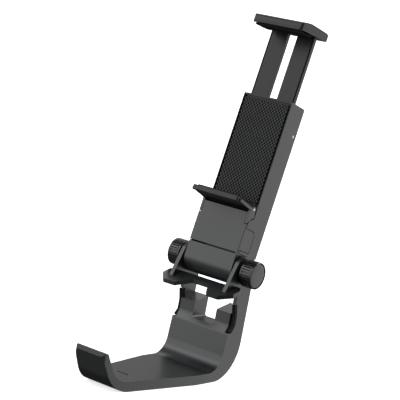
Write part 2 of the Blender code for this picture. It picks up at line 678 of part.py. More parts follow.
def make_hinge_block():
    """The barrel between the ears, and the tenon that the housing's two shells close round."""
    back = HOUSING_DEPTH + PANEL_STEP - BARREL_RADIUS
    top = HOUSING_FOOT - PARTING_GAP
    lowest = 1.5 * math.pi + BARREL_SWEEP
    touch = arc((0, 0), BARREL_RADIUS, math.pi, lowest)
    heel_z = touch[-1][1] + (back - touch[-1][0]) * math.tan(BARREL_SWEEP)
    outline = rounded([(-BARREL_RADIUS, top), *touch, (back, heel_z, 0.005), (back, top)])
    hinge_block = slab("hinge_block", outline, -HOUSING_HALF, HOUSING_HALF, SIDE, arm_axis, ABS)
    half = INNER_HALF
    front = PANEL_WALL + FACE_GAP - BARREL_RADIUS
    inner_back = back - BACK_WALL - FACE_GAP
    lap = 0.0005
    join(hinge_block, block("tenon_tool", (-half, front, top - lap),
                            (half, inner_back, HOUSING_FOOT + TENON_HEIGHT), arm_axis))
    for side in (-1, 1):
        seat = sorted((side * WASHER_SEAT, side * (HOUSING_HALF + lap)))
        bore = sorted((side * (WASHER_SEAT - INSERT_LENGTH - 2 * FACE_GAP),
                       side * (HOUSING_HALF + lap)))
        screw_z = HOUSING_FOOT + LOWER_SCREW_Z
        cut(hinge_block,
            rod("washer_seat_cutter", FRICTION_WASHER_RADIUS + FACE_GAP, *seat, ALONG_X,
                frame=arm_axis),
            rod("insert_bore_cutter", INSERT_RADIUS + FACE_GAP, *bore, ALONG_X, frame=arm_axis),
            rod("tenon_bore_cutter", SHELL_BOSS_RADIUS + FACE_GAP, front - lap, inner_back + lap,
                ALONG_Y, (side * LOWER_SCREW_X, 0, screw_z), arm_axis))
    soften(hinge_block, 0.0002)


def heel_outline(grow):
    """The stop tooth under the lower jaw's pivot, in the housing frame, grown by a clearance."""
    slant = math.radians(40)
    front = PANEL_FRONT - grow
    tip_z = JAW_PIN_Z - HEEL_DROP
    back = PANEL_FRONT + 0.0051 + grow
    middle = PANEL_FRONT + 0.0029
    shoulder = JAW_PIN_Z - 0.0050
    drop = grow / math.cos(slant)
    return [(front, JAW_PIN_Z), (front, tip_z - drop, 0.0003),
            (middle, shoulder - drop, 0.0015), (back, shoulder + 0.0013 - drop, 0.0006),
            (back, JAW_PIN_Z - 0.0012, 0.0008)]


def make_rear_shell():
    """The housing's channel: side walls, back wall, guide ribs for the rails, screw bosses."""
    over = 0.002
    outline = rounded([
        (PANEL_INNER + FACE_GAP, PARTING_GAP), (HOUSING_DEPTH, PARTING_GAP),
        (HOUSING_DEPTH, HOUSING_LENGTH, 0.0012), (SHELL_RIM, HOUSING_LENGTH),
        (SHELL_RIM, FRAME_FOOT - 0.0007, 0.0008), (PANEL_INNER + FACE_GAP, FRAME_FOOT - 0.0007)])
    shell = slab("rear_shell", outline, -HOUSING_HALF, HOUSING_HALF, SIDE, housing, ABS)
    cut(shell, block("cavity_cutter", (-CAVITY_HALF, PANEL_FRONT - over, -over),
                     (CAVITY_HALF, CAVITY_BACK, HOUSING_LENGTH - TOP_WALL), housing))
    rail_room = RAIL_BACK + FACE_GAP
    cut(shell, block("rail_mouth_cutter", (-CAVITY_HALF, -over, HOUSING_LENGTH - 2 * TOP_WALL),
                     (CAVITY_HALF, rail_room, HOUSING_LENGTH + over), housing))
    clear = HEEL_CLEARANCE
    heel = heel_outline(clear)
    pin_clear = JAW_PIN_DEPTH + JAW_BOSS_RADIUS + 2 * clear
    pivot_room = rounded(heel + [(max(pin_clear, heel[-1][0]), JAW_PIN_Z, 0.001),
                                 (max(pin_clear, heel[-1][0]), FRAME_FOOT + over),
                                 (PANEL_FRONT - over, FRAME_FOOT + over),
                                 (PANEL_FRONT - over, JAW_PIN_Z)])
    wide = HOUSING_HALF + over
    cut(shell, slab("pivot_cutter", pivot_room, -wide, wide, SIDE, housing))
    notch = rounded([(PANEL_FRONT, LUG_FOOT - FACE_GAP), (LUG_DEPTH + FACE_GAP, LUG_FOOT - FACE_GAP),
                     (LUG_DEPTH + FACE_GAP, LUG_TOP + FACE_GAP, LUG_RADIUS + FACE_GAP),
                     (PANEL_FRONT, LUG_TOP + FACE_GAP)])
    cut(shell, slab("lug_notch_cutter", notch, -wide, wide, SIDE, housing))
    sunk = 0.0004
    for x, z in SHELL_SCREWS:
        join(shell, rod("shell_boss_tool", SHELL_BOSS_RADIUS, CAVITY_BACK - SHELL_BOSS_HEIGHT,
                        CAVITY_BACK + sunk, ALONG_Y, (x, 0, z), housing))
    for side in (-1, 1):
        x = side * GUIDE_RIB_X
        join(shell, block("guide_rib_tool",
                          (x - GUIDE_RIB_WIDTH / 2, rail_room + sunk,
                           TENON_HEIGHT + 3 * FACE_GAP),
                          (x + GUIDE_RIB_WIDTH / 2, CAVITY_BACK + sunk,
                           HOUSING_LENGTH - TOP_WALL + sunk), housing))
    cut(shell, rod("stop_pin_bore_cutter", STOP_PIN_RADIUS + PIN_PLAY, -wide, wide, ALONG_X,
                   (0, STOP_PIN_DEPTH, STOP_PIN_Z), housing))
    sink = HOUSING_DEPTH - SCREW_HEAD_THICKNESS - FACE_GAP
    for x, z in SHELL_SCREWS:
        cut(shell, rod("screw_sink_cutter", SCREW_HEAD_RADIUS + FACE_GAP, sink,
                       HOUSING_DEPTH + over, ALONG_Y, (x, 0, z), housing),
            rod("screw_bore_cutter", SCREW_SHANK_RADIUS + PIN_PLAY,
                CAVITY_BACK - SHELL_BOSS_HEIGHT - over, HOUSING_DEPTH, ALONG_Y, (x, 0, z), housing))
    soften(shell, 0.00025)


def make_lower_cover():
    """The front panel over the hinge, with side lugs, a lid and two screw bosses."""
    neck = JAW_ARM_INNER - FACE_GAP
    outline = rounded([(-HOUSING_HALF, PARTING_GAP), (HOUSING_HALF, PARTING_GAP),
                       (HOUSING_HALF, PANEL_SHOULDER, 0.0005), (neck, PANEL_SHOULDER),
                       (neck, PANEL_TOP, 0.0005), (-neck, PANEL_TOP, 0.0005),
                       (-neck, PANEL_SHOULDER), (-HOUSING_HALF, PANEL_SHOULDER, 0.0005)])
    cover = slab("lower_cover", outline, PANEL_FRONT, PANEL_INNER, FRONT, housing, ABS)
    lap = 0.0001
    step_in = 0.0006
    lid_half = neck - step_in
    join(cover, block("lid_tool", (-lid_half, PANEL_INNER - lap, PANEL_TOP - 2 * PANEL_WALL),
                      (lid_half, PANEL_FRONT + PANEL_LID_DEPTH, PANEL_TOP - step_in), housing))
    lug = rounded([(PANEL_INNER - lap, LUG_FOOT), (LUG_DEPTH, LUG_FOOT),
                   (LUG_DEPTH, LUG_TOP, LUG_RADIUS), (PANEL_INNER - lap, LUG_TOP)])
    boss_end = CAVITY_BACK - SHELL_BOSS_HEIGHT - FACE_GAP
    bore_start = HOUSING_DEPTH - SCREW_HEAD_THICKNESS - SCREW_LENGTH - FACE_GAP
    for side in (-1, 1):
        ends = sorted((side * CAVITY_HALF, side * HOUSING_HALF))
        spot = (side * LOWER_SCREW_X, 0, LOWER_SCREW_Z)
        join(cover, slab("lug_tool", lug, *ends, SIDE, housing),
             rod("cover_boss_tool", BOSS_RADIUS, PANEL_INNER - lap, boss_end, ALONG_Y, spot,
                 housing))
        cut(cover, rod("cover_bore_cutter", SCREW_SHANK_RADIUS + PIN_PLAY, bore_start,
                       boss_end + FACE_GAP, ALONG_Y, spot, housing))
    soften(cover, 0.00025)


def make_front_frame():
    """The plate behind the pad, its rim, the lower jaw's knuckle and two screw posts."""
    half = HOUSING_HALF - PIN_PLAY
    outline = rounded([(-half, FRAME_FOOT), (half, FRAME_FOOT), (half, HOUSING_LENGTH, 0.0012),
                       (-half, HOUSING_LENGTH, 0.0012)])
    frame = slab("front_frame", outline, 0, RIM_DEPTH, FRONT, housing, DARK_ABS)
    lap = 0.0001
    inner_top = HOUSING_LENGTH - lap
    step_in = 0.0006
    join(frame, block("tongue_tool", (-INNER_HALF, RIM_DEPTH / 2, FRAME_FOOT + step_in),
                      (INNER_HALF, FRAME_DEPTH, inner_top), housing))
    depth = PAD_THICKNESS - PAD_STAND_OUT + FACE_GAP
    cut(frame, block("pad_recess_cutter", (-PAD_HALF - FACE_GAP, -depth, PAD_FOOT - FACE_GAP),
                     (PAD_HALF + FACE_GAP, depth, PAD_TOP + FACE_GAP), housing))
    nose = JAW_BOSS_RADIUS + PIN_PLAY
    centre = (JAW_PIN_DEPTH, JAW_PIN_Z)
    back = FRAME_DEPTH - step_in
    knuckle = [(back, FRAME_FOOT + 2 * step_in), (step_in, FRAME_FOOT + 2 * step_in),
               (step_in, JAW_PIN_Z + nose), *arc(centre, nose, math.pi / 2, 1.5 * math.pi),
               (back, JAW_PIN_Z - nose)]
    knuckle_half = INNER_HALF - step_in
    join(frame, slab("knuckle_tool", knuckle, -knuckle_half, knuckle_half, SIDE, housing))
    cut(frame, rod("jaw_pin_bore_cutter", JAW_PIN_RADIUS + PIN_PLAY, -HOUSING_HALF, HOUSING_HALF,
                   ALONG_X, (0, *centre), housing))
    boss_end = CAVITY_BACK - SHELL_BOSS_HEIGHT - FACE_GAP
    bore_start = max(HOUSING_DEPTH - SCREW_HEAD_THICKNESS - SCREW_LENGTH - FACE_GAP,
                     RIM_DEPTH)
    for z in UPPER_SCREW_Z:
        join(frame, rod("post_tool", BOSS_RADIUS, FRAME_DEPTH / 2 + lap, boss_end, ALONG_Y,
                        (0, 0, z), housing))
        cut(frame, rod("post_bore_cutter", SCREW_SHANK_RADIUS + PIN_PLAY, bore_start,
                       boss_end + FACE_GAP, ALONG_Y, (0, 0, z), housing))
    soften(frame, 0.0002)


def make_back_pad():
    """The soft sheet that the phone's back rests on."""
    outline = rounded([(-PAD_HALF, PAD_FOOT, 0.0006), (PAD_HALF, PAD_FOOT, 0.0006),
                       (PAD_HALF, PAD_TOP, 0.0006), (-PAD_HALF, PAD_TOP, 0.0006)])
    pad = slab("back_pad", outline, -PAD_STAND_OUT, PAD_THICKNESS - PAD_STAND_OUT, FRONT, housing,
               RUBBER)
    soften(pad, 0.0002)


def make_shell_screws():
    """Four screws from the back: two into the panel's bosses, two into the frame's posts."""
    head_end = HOUSING_DEPTH - FACE_GAP / 2
    head_start = head_end - SCREW_HEAD_THICKNESS
    tip = head_start - SCREW_LENGTH + FACE_GAP
    profile = [(0, head_end), (SCREW_HEAD_RADIUS - FACE_GAP, head_end),
               (SCREW_HEAD_RADIUS, head_end - FACE_GAP), (SCREW_HEAD_RADIUS, head_start),
               (SCREW_SHANK_RADIUS, head_start), (SCREW_SHANK_RADIUS, tip + SCREW_SHANK_RADIUS),
               (0, tip)]
    arm = SCREW_HEAD_RADIUS * 0.6
    thin = 0.0002
    for number, (x, z) in enumerate(SHELL_SCREWS, 1):
        name = f"shell_screw_{number}"
        screw = turned(name, profile, Matrix.Translation((x, 0, z)) @ ALONG_Y, housing, STEEL,
                       SMALL_ROUND_STEPS)
        deep = head_end - SCREW_HEAD_THICKNESS / 2
        for wide, tall in ((arm, thin), (thin, arm)):
            cut(screw, block(name + "_drive_cutter", (x - wide, deep, z - tall),
                             (x + wide, head_end + thin, z + tall), housing))


def make_jaw_outline():
    """The lower jaw's side cheek: a boss round the pin, the heel tooth and the long arm."""
    turn = Matrix.Rotation(JAW_TIP_UP, 2)
    pin = Vector((JAW_PIN_DEPTH, JAW_PIN_Z))
    heel = [(*(turn @ (Vector(corner[:2]) - pin)), *corner[2:]) for corner in heel_outline(0)[1:4]]
    front = JAW_LIP_LENGTH - JAW_LENGTH - FACE_GAP
    boss = JAW_BOSS_RADIUS
    neck = math.pi - math.asin(JAW_ARM_HIGH / boss)
    return rounded([(front, JAW_PLATE_LOW, 0.0003), (front, JAW_ARM_HIGH - FACE_GAP, 0.0005),
                    *arc((0, 0), boss, neck, 0),
                    *reversed(heel), (JAW_PLATE_LOW - boss, JAW_PLATE_LOW, 0.0006)])


def make_lower_jaw():
    """The folding jaw: a plate with a front lip between two cheeks with stop heels."""
    lap = 0.0001
    plate_half = JAW_ARM_INNER + lap
    corner = 0.0012
    outline = rounded([(-plate_half, -JAW_PLATE_BACK), (-plate_half, -JAW_LENGTH, corner),
                       (plate_half, -JAW_LENGTH, corner), (plate_half, -JAW_PLATE_BACK)])
    jaw = slab("lower_jaw", outline, JAW_PLATE_LOW + lap, JAW_PLATE_HIGH, PLAN, fold_axis,
               DARK_ABS)
    cheek = make_jaw_outline()
    for side in (-1, 1):
        ends = sorted((side * JAW_ARM_INNER, side * HOUSING_HALF))
        join(jaw, slab("jaw_cheek_tool", cheek, *ends, SIDE, fold_axis))
    lip = rounded([(-JAW_LIP_HALF, -JAW_LENGTH - lap, corner),
                   (JAW_LIP_HALF, -JAW_LENGTH - lap, corner),
                   (JAW_LIP_HALF, JAW_LIP_LENGTH - JAW_LENGTH),
                   (-JAW_LIP_HALF, JAW_LIP_LENGTH - JAW_LENGTH)])
    join(jaw, slab("jaw_lip_tool", lip, JAW_LIP_LOW, JAW_LIP_HIGH, PLAN, fold_axis))
    over = 0.001
    cut(jaw, rod("jaw_cheek_bore_cutter", JAW_PIN_RADIUS + PIN_PLAY, -HOUSING_HALF - over,
                 HOUSING_HALF + over, ALONG_X, frame=fold_axis))
    soften(jaw, 0.0002)


def make_lower_jaw_pad():
    low = JAW_PLATE_HIGH + FACE_GAP
    front = JAW_LIP_LENGTH - JAW_LENGTH + FACE_GAP
    outline = rounded([(-JAW_PAD_HALF, front, 0.0005), (JAW_PAD_HALF, front, 0.0005),
                       (JAW_PAD_HALF, front + JAW_PAD_LENGTH, 0.0005),
                       (-JAW_PAD_HALF, front + JAW_PAD_LENGTH, 0.0005)])
    pad = slab("lower_jaw_pad", outline, low, low + JAW_PAD_THICKNESS, PLAN, fold_axis, RUBBER)
    soften(pad, 0.0003)


def make_pins():
    """The lower jaw's pivot pin, and the pin across the housing behind the rails."""
    end = HOUSING_HALF - PIN_PLAY
    rod("jaw_pin", JAW_PIN_RADIUS, -end, end, ALONG_X, (0, JAW_PIN_DEPTH, JAW_PIN_Z), housing,
        STEEL, 0.00015)
    rod("stop_pin", STOP_PIN_RADIUS, -end, end, ALONG_X, (0, STOP_PIN_DEPTH, STOP_PIN_Z), housing,
        STEEL, 0.00015)


def upper_jaw_side_outline():
    """The upper jaw's side view: a beak whose underside climbs away from the phone's face."""
    front = -UPPER_JAW_REACH
    back = UPPER_JAW_BACK
    return rounded([(front, 0, 0.0004), (front, 0.0020, 0.0006), (front + 0.0010, 0.0042, 0.0015),
                    (front + 0.0034, 0.0056, 0.004), (front + 0.0080, 0.0063, 0.01),
                    (back - 0.0030, 0.0068, 0.004), (back, 0.0062, 0.0018),
                    (back, 0.0029, 0.0003), (front + 0.0024, 0.0010, 0.004)])


def make_upper_jaw():
    """The sliding jaw with its two flat rails, joined at the bottom by a crossbar."""
    jaw = slab("upper_jaw", upper_jaw_side_outline(), -UPPER_JAW_HALF, UPPER_JAW_HALF, SIDE,
               slide_axis, DARK_ABS)
    over = 0.002
    corner = UPPER_JAW_CORNER
    plan = rounded([(-UPPER_JAW_HALF, -UPPER_JAW_REACH, corner),
                    (UPPER_JAW_HALF, -UPPER_JAW_REACH, corner),
                    (UPPER_JAW_HALF, UPPER_JAW_BACK, corner / 2),
                    (-UPPER_JAW_HALF, UPPER_JAW_BACK, corner / 2)])
    boolean(jaw, slab("jaw_plan_tool", plan, -over, HOUSING_DEPTH, PLAN, slide_axis), "INTERSECT")
    root = 0.0035
    slot_floor = CROSSBAR_LENGTH - RAIL_LENGTH
    rails = rounded([(-RAIL_HALF, -RAIL_LENGTH, 0.001), (RAIL_HALF, -RAIL_LENGTH, 0.001),
                     (RAIL_HALF, root), (RAIL_SLOT_HALF, root),
                     (RAIL_SLOT_HALF, slot_floor, 0.001), (-RAIL_SLOT_HALF, slot_floor, 0.001),
                     (-RAIL_SLOT_HALF, root), (-RAIL_HALF, root)])
    join(jaw, slab("rails_tool", rails, RAIL_DEPTH, RAIL_BACK, FRONT, slide_axis))
    block_back = RAIL_DEPTH + CROSSBAR_BLOCK_DEPTH
    edge = 0.001
    join(jaw, block("crossbar_block_tool",
                    (-CROSSBAR_BLOCK_HALF, RAIL_DEPTH + edge, edge - RAIL_LENGTH),
                    (CROSSBAR_BLOCK_HALF, block_back, slot_floor - edge), slide_axis))
    half_length = SPRING_LENGTH / 2 + FACE_GAP
    middle = slot_floor - CROSSBAR_LENGTH / 2
    cut(jaw, block("spring_pocket_cutter",
                   (-SPRING_HALF - FACE_GAP, block_back - SPRING_POCKET, middle - half_length),
                   (SPRING_HALF + FACE_GAP, block_back + over, middle + half_length), slide_axis))
    soften(jaw, 0.0002)


def make_upper_jaw_pad():
    """The ribbed rubber under the upper jaw, following the climb of its underside."""
    front = -UPPER_PAD_FRONT
    length = UPPER_PAD_FRONT - UPPER_PAD_BACK
    slope = 0.0019 / (UPPER_JAW_BACK + UPPER_JAW_REACH - 0.0024)
    base = 0.0010 - FACE_GAP * 1.5
    start = front - (0.0024 - UPPER_JAW_REACH)
    pitch = length / UPPER_PAD_RIBS
    valley = 0.0004

    def under(y, depth):
        return base + (y - front + start) * slope - depth

    outline = [(front + length, under(front + length, 0)), (front, under(front, 0))]
    for rib in range(UPPER_PAD_RIBS):
        for share, depth in ((0.1, UPPER_PAD_THICKNESS), (0.6, UPPER_PAD_THICKNESS),
                             (0.75, UPPER_PAD_THICKNESS - valley),
                             (0.95, UPPER_PAD_THICKNESS - valley)):
            y = front + (rib + share) * pitch
            outline.append((y, under(y, depth)))
    slab("upper_jaw_pad", outline, -UPPER_PAD_HALF, UPPER_PAD_HALF, SIDE, slide_axis, RUBBER)


def make_brake_spring():
    """A bowed steel leaf in the crossbar's pocket, which rubs on the housing's back wall."""
    middle = CROSSBAR_LENGTH / 2 - RAIL_LENGTH
    seat = RAIL_DEPTH + CROSSBAR_BLOCK_DEPTH - SPRING_POCKET + FACE_GAP
    crown = CAVITY_BACK - FACE_GAP / 2
    half = SPRING_LENGTH / 2
    count = 12
    shares = [2 * i / count - 1 for i in range(count + 1)]
    outer = [(crown - (crown - seat - SPRING_THICKNESS) * s * s, middle + half * s) for s in shares]
    inner = [(y - SPRING_THICKNESS, z) for y, z in reversed(outer)]
    slab("brake_spring", outer + inner, -SPRING_HALF, SPRING_HALF, SIDE, slide_axis, STEEL)


make_cradle()
make_bumpers()
for piece, maker in (("knob", make_knob), ("knob_cap", make_knob_cap),
                     ("knob_screw", make_knob_screw), ("washer", make_washer)):
    make_pair(piece, maker, None, (0, HINGE_Y, HINGE_Z))
for piece, maker in (("friction_washer", make_friction_washer), ("insert", make_insert)):
    make_pair(piece, maker, arm_axis, (0, 0, 0))
make_hinge_block()
make_rear_shell()
make_lower_cover()
make_front_frame()
make_back_pad()
make_shell_screws()
make_lower_jaw()
make_lower_jaw_pad()
make_pins()
make_upper_jaw()
make_upper_jaw_pad()
make_brake_spring()
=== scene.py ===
"""Looks of the controller phone clip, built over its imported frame.

The sections follow the clip as it is put together: the cradle with its rubber strips, the
hinge and its knobs, the clamp's housing with the pad, the folding lower jaw, and the upper jaw
that slides on two rails. Metres, +Z up, +X to the player's right, +Y away from the player.
"""

import json
import math

import bmesh
import bpy
from mathutils import Matrix, Vector


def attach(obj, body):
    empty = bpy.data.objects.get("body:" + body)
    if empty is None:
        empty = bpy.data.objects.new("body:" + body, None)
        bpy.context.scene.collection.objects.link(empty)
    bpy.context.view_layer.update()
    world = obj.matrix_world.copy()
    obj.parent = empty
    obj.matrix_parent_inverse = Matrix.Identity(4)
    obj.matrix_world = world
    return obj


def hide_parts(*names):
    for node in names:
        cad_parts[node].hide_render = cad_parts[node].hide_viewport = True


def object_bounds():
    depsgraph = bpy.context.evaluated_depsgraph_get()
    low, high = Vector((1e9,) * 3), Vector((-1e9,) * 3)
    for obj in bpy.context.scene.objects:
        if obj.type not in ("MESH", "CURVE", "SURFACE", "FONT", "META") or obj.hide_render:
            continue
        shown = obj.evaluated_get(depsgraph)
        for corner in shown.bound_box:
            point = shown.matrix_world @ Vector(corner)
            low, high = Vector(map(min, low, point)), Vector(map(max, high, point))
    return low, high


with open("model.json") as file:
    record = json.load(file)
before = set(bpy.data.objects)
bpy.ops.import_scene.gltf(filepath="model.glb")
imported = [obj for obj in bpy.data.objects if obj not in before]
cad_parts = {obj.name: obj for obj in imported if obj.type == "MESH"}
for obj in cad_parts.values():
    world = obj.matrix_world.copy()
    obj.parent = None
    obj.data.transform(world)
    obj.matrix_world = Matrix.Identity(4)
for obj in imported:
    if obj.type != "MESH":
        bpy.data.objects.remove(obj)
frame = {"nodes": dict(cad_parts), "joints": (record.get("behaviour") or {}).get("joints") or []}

frame_box = [list(corner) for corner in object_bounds()]


# Studio: a pale floor that runs out of sight, a white room and three soft boxes.
# The camera stands where the photograph was taken from, and looks slightly down on the clip.

def linear(hex_colour):
    """An sRGB hex colour as linear red, green and blue with full alpha."""
    channels = [int(hex_colour[i:i + 2], 16) / 255 for i in (0, 2, 4)]
    return [c / 12.92 if c <= 0.04045 else ((c + 0.055) / 1.055) ** 2.4 for c in channels] + [1]


def add_node(tree, kind, inputs=None, **settings):
    """Add a node with its settings. An input is a value, or another node's output to link."""
    made = tree.nodes.new(kind)
    for name, value in settings.items():
        setattr(made, name, value)
    for name, value in (inputs or {}).items():
        if isinstance(value, bpy.types.NodeSocket):
            tree.links.new(value, made.inputs[name])
        else:
            made.inputs[name].default_value = value
    return made


def open_material(name):
    """A new material with nodes, given with its tree and its shader."""
    made = bpy.data.materials.new(name)
    made.use_nodes = True
    return made, made.node_tree, made.node_tree.nodes["Principled BSDF"]


def blend_colours(tree, pattern, dull, bright):
    """The output of a node that goes from one hex colour to another with a pattern."""
    return add_node(tree, "ShaderNodeMix", {0: pattern, 6: linear(dull), 7: linear(bright)},
                    data_type="RGBA").outputs[2]


def solid(shape, place):
    """An object from a bmesh that is put in its place, with its faces pointing outwards."""
    shape.transform(place)
    shape.normal_update()
    bmesh.ops.recalc_face_normals(shape, faces=shape.faces)
    mesh = bpy.data.meshes.new("solid")
    shape.to_mesh(mesh)
    shape.free()
    made = bpy.data.objects.new("solid", mesh)
    bpy.context.scene.collection.objects.link(made)
    return made


def turned(profile, place, steps=64):
    """A closed profile of (radius, height) points spun round the local Z axis."""
    shape = bmesh.new()
    rings = []
    for radius, height in profile:
        around = [shape.verts.new((radius * math.cos(2 * math.pi * i / steps),
                                   radius * math.sin(2 * math.pi * i / steps), height))
                  for i in range(steps if radius > 0 else 1)]
        rings.append(around if radius > 0 else around * steps)
    for lower, upper in zip(rings, rings[1:] + rings[:1]):
        for i in range(steps):
            j = (i + 1) % steps
            corners = list(dict.fromkeys((lower[i], lower[j], upper[j], upper[i])))
            if len(corners) > 2:
                shape.faces.new(corners)
    return solid(shape, place)


camera_data = bpy.data.cameras.new("photo_camera")
camera_data.lens = 132.58
camera_data.sensor_width = 36
camera_data.clip_start = 0.05
camera_data.clip_end = 200
camera = bpy.data.objects.new("photo_camera", camera_data)
camera_right = Vector((0.7974, 0.5748, 0.1839))
camera_down = Vector((0.2283, -0.0052, -0.9736))
camera_ahead = Vector((-0.5587, 0.8183, -0.1354))
turn = Matrix((camera_right, -camera_down, -camera_ahead)).transposed()
camera.matrix_world = Matrix.Translation((0.3894, -0.5520, 0.1760)) @ turn.to_4x4()
bpy.context.scene.collection.objects.link(camera)
bpy.context.scene.camera = camera
bpy.context.scene.view_settings.view_transform = "Standard"

room = bpy.data.worlds.new("white_room_with_soft_panels")
room.use_nodes = True
tree = room.node_tree
gaze = add_node(tree, "ShaderNodeTexCoord").outputs["Generated"]
light = add_node(tree, "ShaderNodeMapRange", {
    "Value": add_node(tree, "ShaderNodeSeparateXYZ", {0: gaze}).outputs["Z"], "From Min": -0.6,
    "From Max": 0.0, "To Min": 0.03, "To Max": 0.32}, interpolation_type="SMOOTHSTEP").outputs[0]
# Each soft panel: its direction, the cosines at its edge and at its core, and its brightness.
for towards, edge, core, gain in (((-0.56, -0.79, 0.42), 0.74, 0.93, 1.75),
                                  ((0.60, 0.79, 0.0), 0.5, 0.92, 0.95),
                                  ((-0.42, 0.6, 0.72), 0.9, 0.98, 0.9),
                                  ((-0.56, -0.7, -0.5), 0.7, 0.95, 0.3),
                                  ((0.1, -0.1, 0.99), 0.6, 0.95, 0.2)):
    facing = add_node(tree, "ShaderNodeVectorMath", {0: gaze, 1: Vector(towards).normalized()},
                      operation="DOT_PRODUCT")
    panel = add_node(tree, "ShaderNodeMapRange", {
        "Value": facing.outputs["Value"], "From Min": edge, "From Max": core, "To Min": 0.0,
        "To Max": gain}, interpolation_type="SMOOTHSTEP")
    light = add_node(tree, "ShaderNodeMath", {0: light, 1: panel.outputs[0]},
                     operation="ADD").outputs[0]
tree.links.new(light, tree.nodes["Background"].inputs["Strength"])
tree.nodes["Background"].inputs["Color"].default_value = linear("ffffff")
bpy.context.scene.world = room

for name, place, size, power in (("soft_box_right", (0.5, -0.5, 1.1), 0.35, 1.5),
                                 ("soft_box_left", (-0.7, -0.5, 0.75), 0.35, 0.6),
                                 ("soft_box_back", (0.35, 0.8, 0.8), 0.4, 3.0)):
    lamp_data = bpy.data.lights.new(name, "AREA")
    lamp_data.size = size
    lamp_data.energy = power
    lamp = bpy.data.objects.new(name, lamp_data)
    lamp.matrix_world = Matrix.Translation(place) @ (
        Vector(place) - Vector((0, 0.02, 0.08))).to_track_quat("Z", "Y").to_matrix().to_4x4()
    bpy.context.scene.collection.objects.link(lamp)

floor_paint, tree, shader = open_material("matt_white_floor_paint")
floor_spot = add_node(tree, "ShaderNodeTexCoord").outputs["Object"]
patches = add_node(tree, "ShaderNodeTexNoise", {"Vector": floor_spot, "Scale": 3.0})
shade = blend_colours(tree, patches.outputs[0], "f4f4f3", "fafafa")
tree.links.new(shade, shader.inputs["Base Color"])
tree.links.new(shade, shader.inputs["Emission Color"])
# The paint glows more far off, so that the floor stays white where it rises behind the clip.
reach = add_node(tree, "ShaderNodeVectorMath", {0: floor_spot}, operation="LENGTH")
glow = add_node(tree, "ShaderNodeMapRange", {"Value": reach.outputs["Value"], "From Min": 0.5,
                                             "From Max": 3.0, "To Min": 0.75, "To Max": 1.1})
tree.links.new(glow.outputs[0], shader.inputs["Emission Strength"])
shader.inputs["Roughness"].default_value = 0.9
ground = frame_box[0][2]
floor = turned([(0, ground), (3, ground), (4.5, ground + 0.25), (5.5, ground + 1),
                (6, ground + 2.5), (6.2, ground + 2.5), (6.2, ground - 0.2), (0, ground - 0.2)],
               Matrix.Identity(4), 96)
floor.name = "studio_floor"
floor.data.shade_smooth()
floor.data.materials.append(floor_paint)
floor.visible_diffuse = floor.visible_glossy = floor.visible_shadow = False


# Cradle: one moulding of grey ABS, with a hook, a floor, a thick wall, two cheeks and a notched
# shelf. The tool's spark-eroded face leaves a fine satin grain, and its edges are left small.

def moulded_abs(name, dull, bright, roughness):
    """Satin ABS: a tint that clouds over 18 mm, and a grain of 0.1 mm pits, drawn at 0.4 mm."""
    made, tree, shader = open_material(name)
    place = add_node(tree, "ShaderNodeTexCoord").outputs["Object"]
    cloud = add_node(tree, "ShaderNodeTexNoise", {"Vector": place, "Scale": 55.0, "Detail": 3.0})
    grain = add_node(tree, "ShaderNodeTexNoise", {"Vector": place, "Scale": 2500.0, "Detail": 2.0})
    satin = add_node(tree, "ShaderNodeMapRange", {
        "Value": grain.outputs[0], "From Min": 0.3, "From Max": 0.7,
        "To Min": roughness - 0.03, "To Max": roughness + 0.03})
    pits = add_node(tree, "ShaderNodeBump", {"Height": grain.outputs[0], "Strength": 0.05,
                                             "Distance": 0.00003})
    tree.links.new(blend_colours(tree, cloud.outputs[0], dull, bright),
                   shader.inputs["Base Color"])
    tree.links.new(satin.outputs[0], shader.inputs["Roughness"])
    tree.links.new(pits.outputs[0], shader.inputs["Normal"])
    shader.inputs["IOR"].default_value = 1.54
    return made


def arc(centre, radius, start, end):
    """Points on an arc, a few degrees apart, both ends included."""
    steps = max(2, math.ceil(abs(end - start) / math.radians(5)))
    angles = [start + (end - start) * i / steps for i in range(steps + 1)]
    return [(centre[0] + radius * math.cos(a), centre[1] + radius * math.sin(a)) for a in angles]


def oblong(left, right, low, high, *radius):
    """The corners of a rectangle, each with the same radius if one is given."""
    return [(a, b, *radius) for a, b in ((left, low), (right, low), (right, high), (left, high))]


def rounded(corners):
    """A closed outline from corners (a, b) or (a, b, radius), with the radii as fine arcs."""
    points = []
    for i, corner in enumerate(corners):
        here = Vector(corner[:2])
        radius = corner[2] if len(corner) > 2 else 0
        back = Vector(corners[i - 1][:2]) - here
        ahead = Vector(corners[(i + 1) % len(corners)][:2]) - here
        opening = back.angle(ahead)
        if radius <= 0 or math.pi - opening < 0.01:
            points.append(tuple(here))
            continue
        run = min(radius / math.tan(opening / 2), 0.48 * back.length, 0.48 * ahead.length)
        radius = run * math.tan(opening / 2)
        centre = here + (back.normalized() + ahead.normalized()).normalized() * (
            radius / math.sin(opening / 2))
        first = here + back.normalized() * run - centre
        start = math.atan2(first.y, first.x)
        sweep = (math.pi - opening) * (1 if ahead.cross(back) > 0 else -1)
        points.extend(arc(centre, radius, start, start + sweep))
    return points


def slab(outline, low, high, place):
    """A flat outline given thickness from low to high across its plane."""
    shape = bmesh.new()
    base = shape.faces.new([shape.verts.new((a, b, low)) for a, b in outline])
    raised = bmesh.ops.extrude_face_region(shape, geom=[base])["geom"]
    bmesh.ops.translate(shape, vec=(0, 0, high - low),
                        verts=[item for item in raised if isinstance(item, bmesh.types.BMVert)])
    return solid(shape, place)


def settle(piece):
    """Turn a piece's modifiers into its plain mesh."""
    graph = bpy.context.evaluated_depsgraph_get()
    mesh = bpy.data.meshes.new_from_object(piece.evaluated_get(graph))
    piece.modifiers.clear()
    spent, piece.data = piece.data, mesh
    bpy.data.meshes.remove(spent)


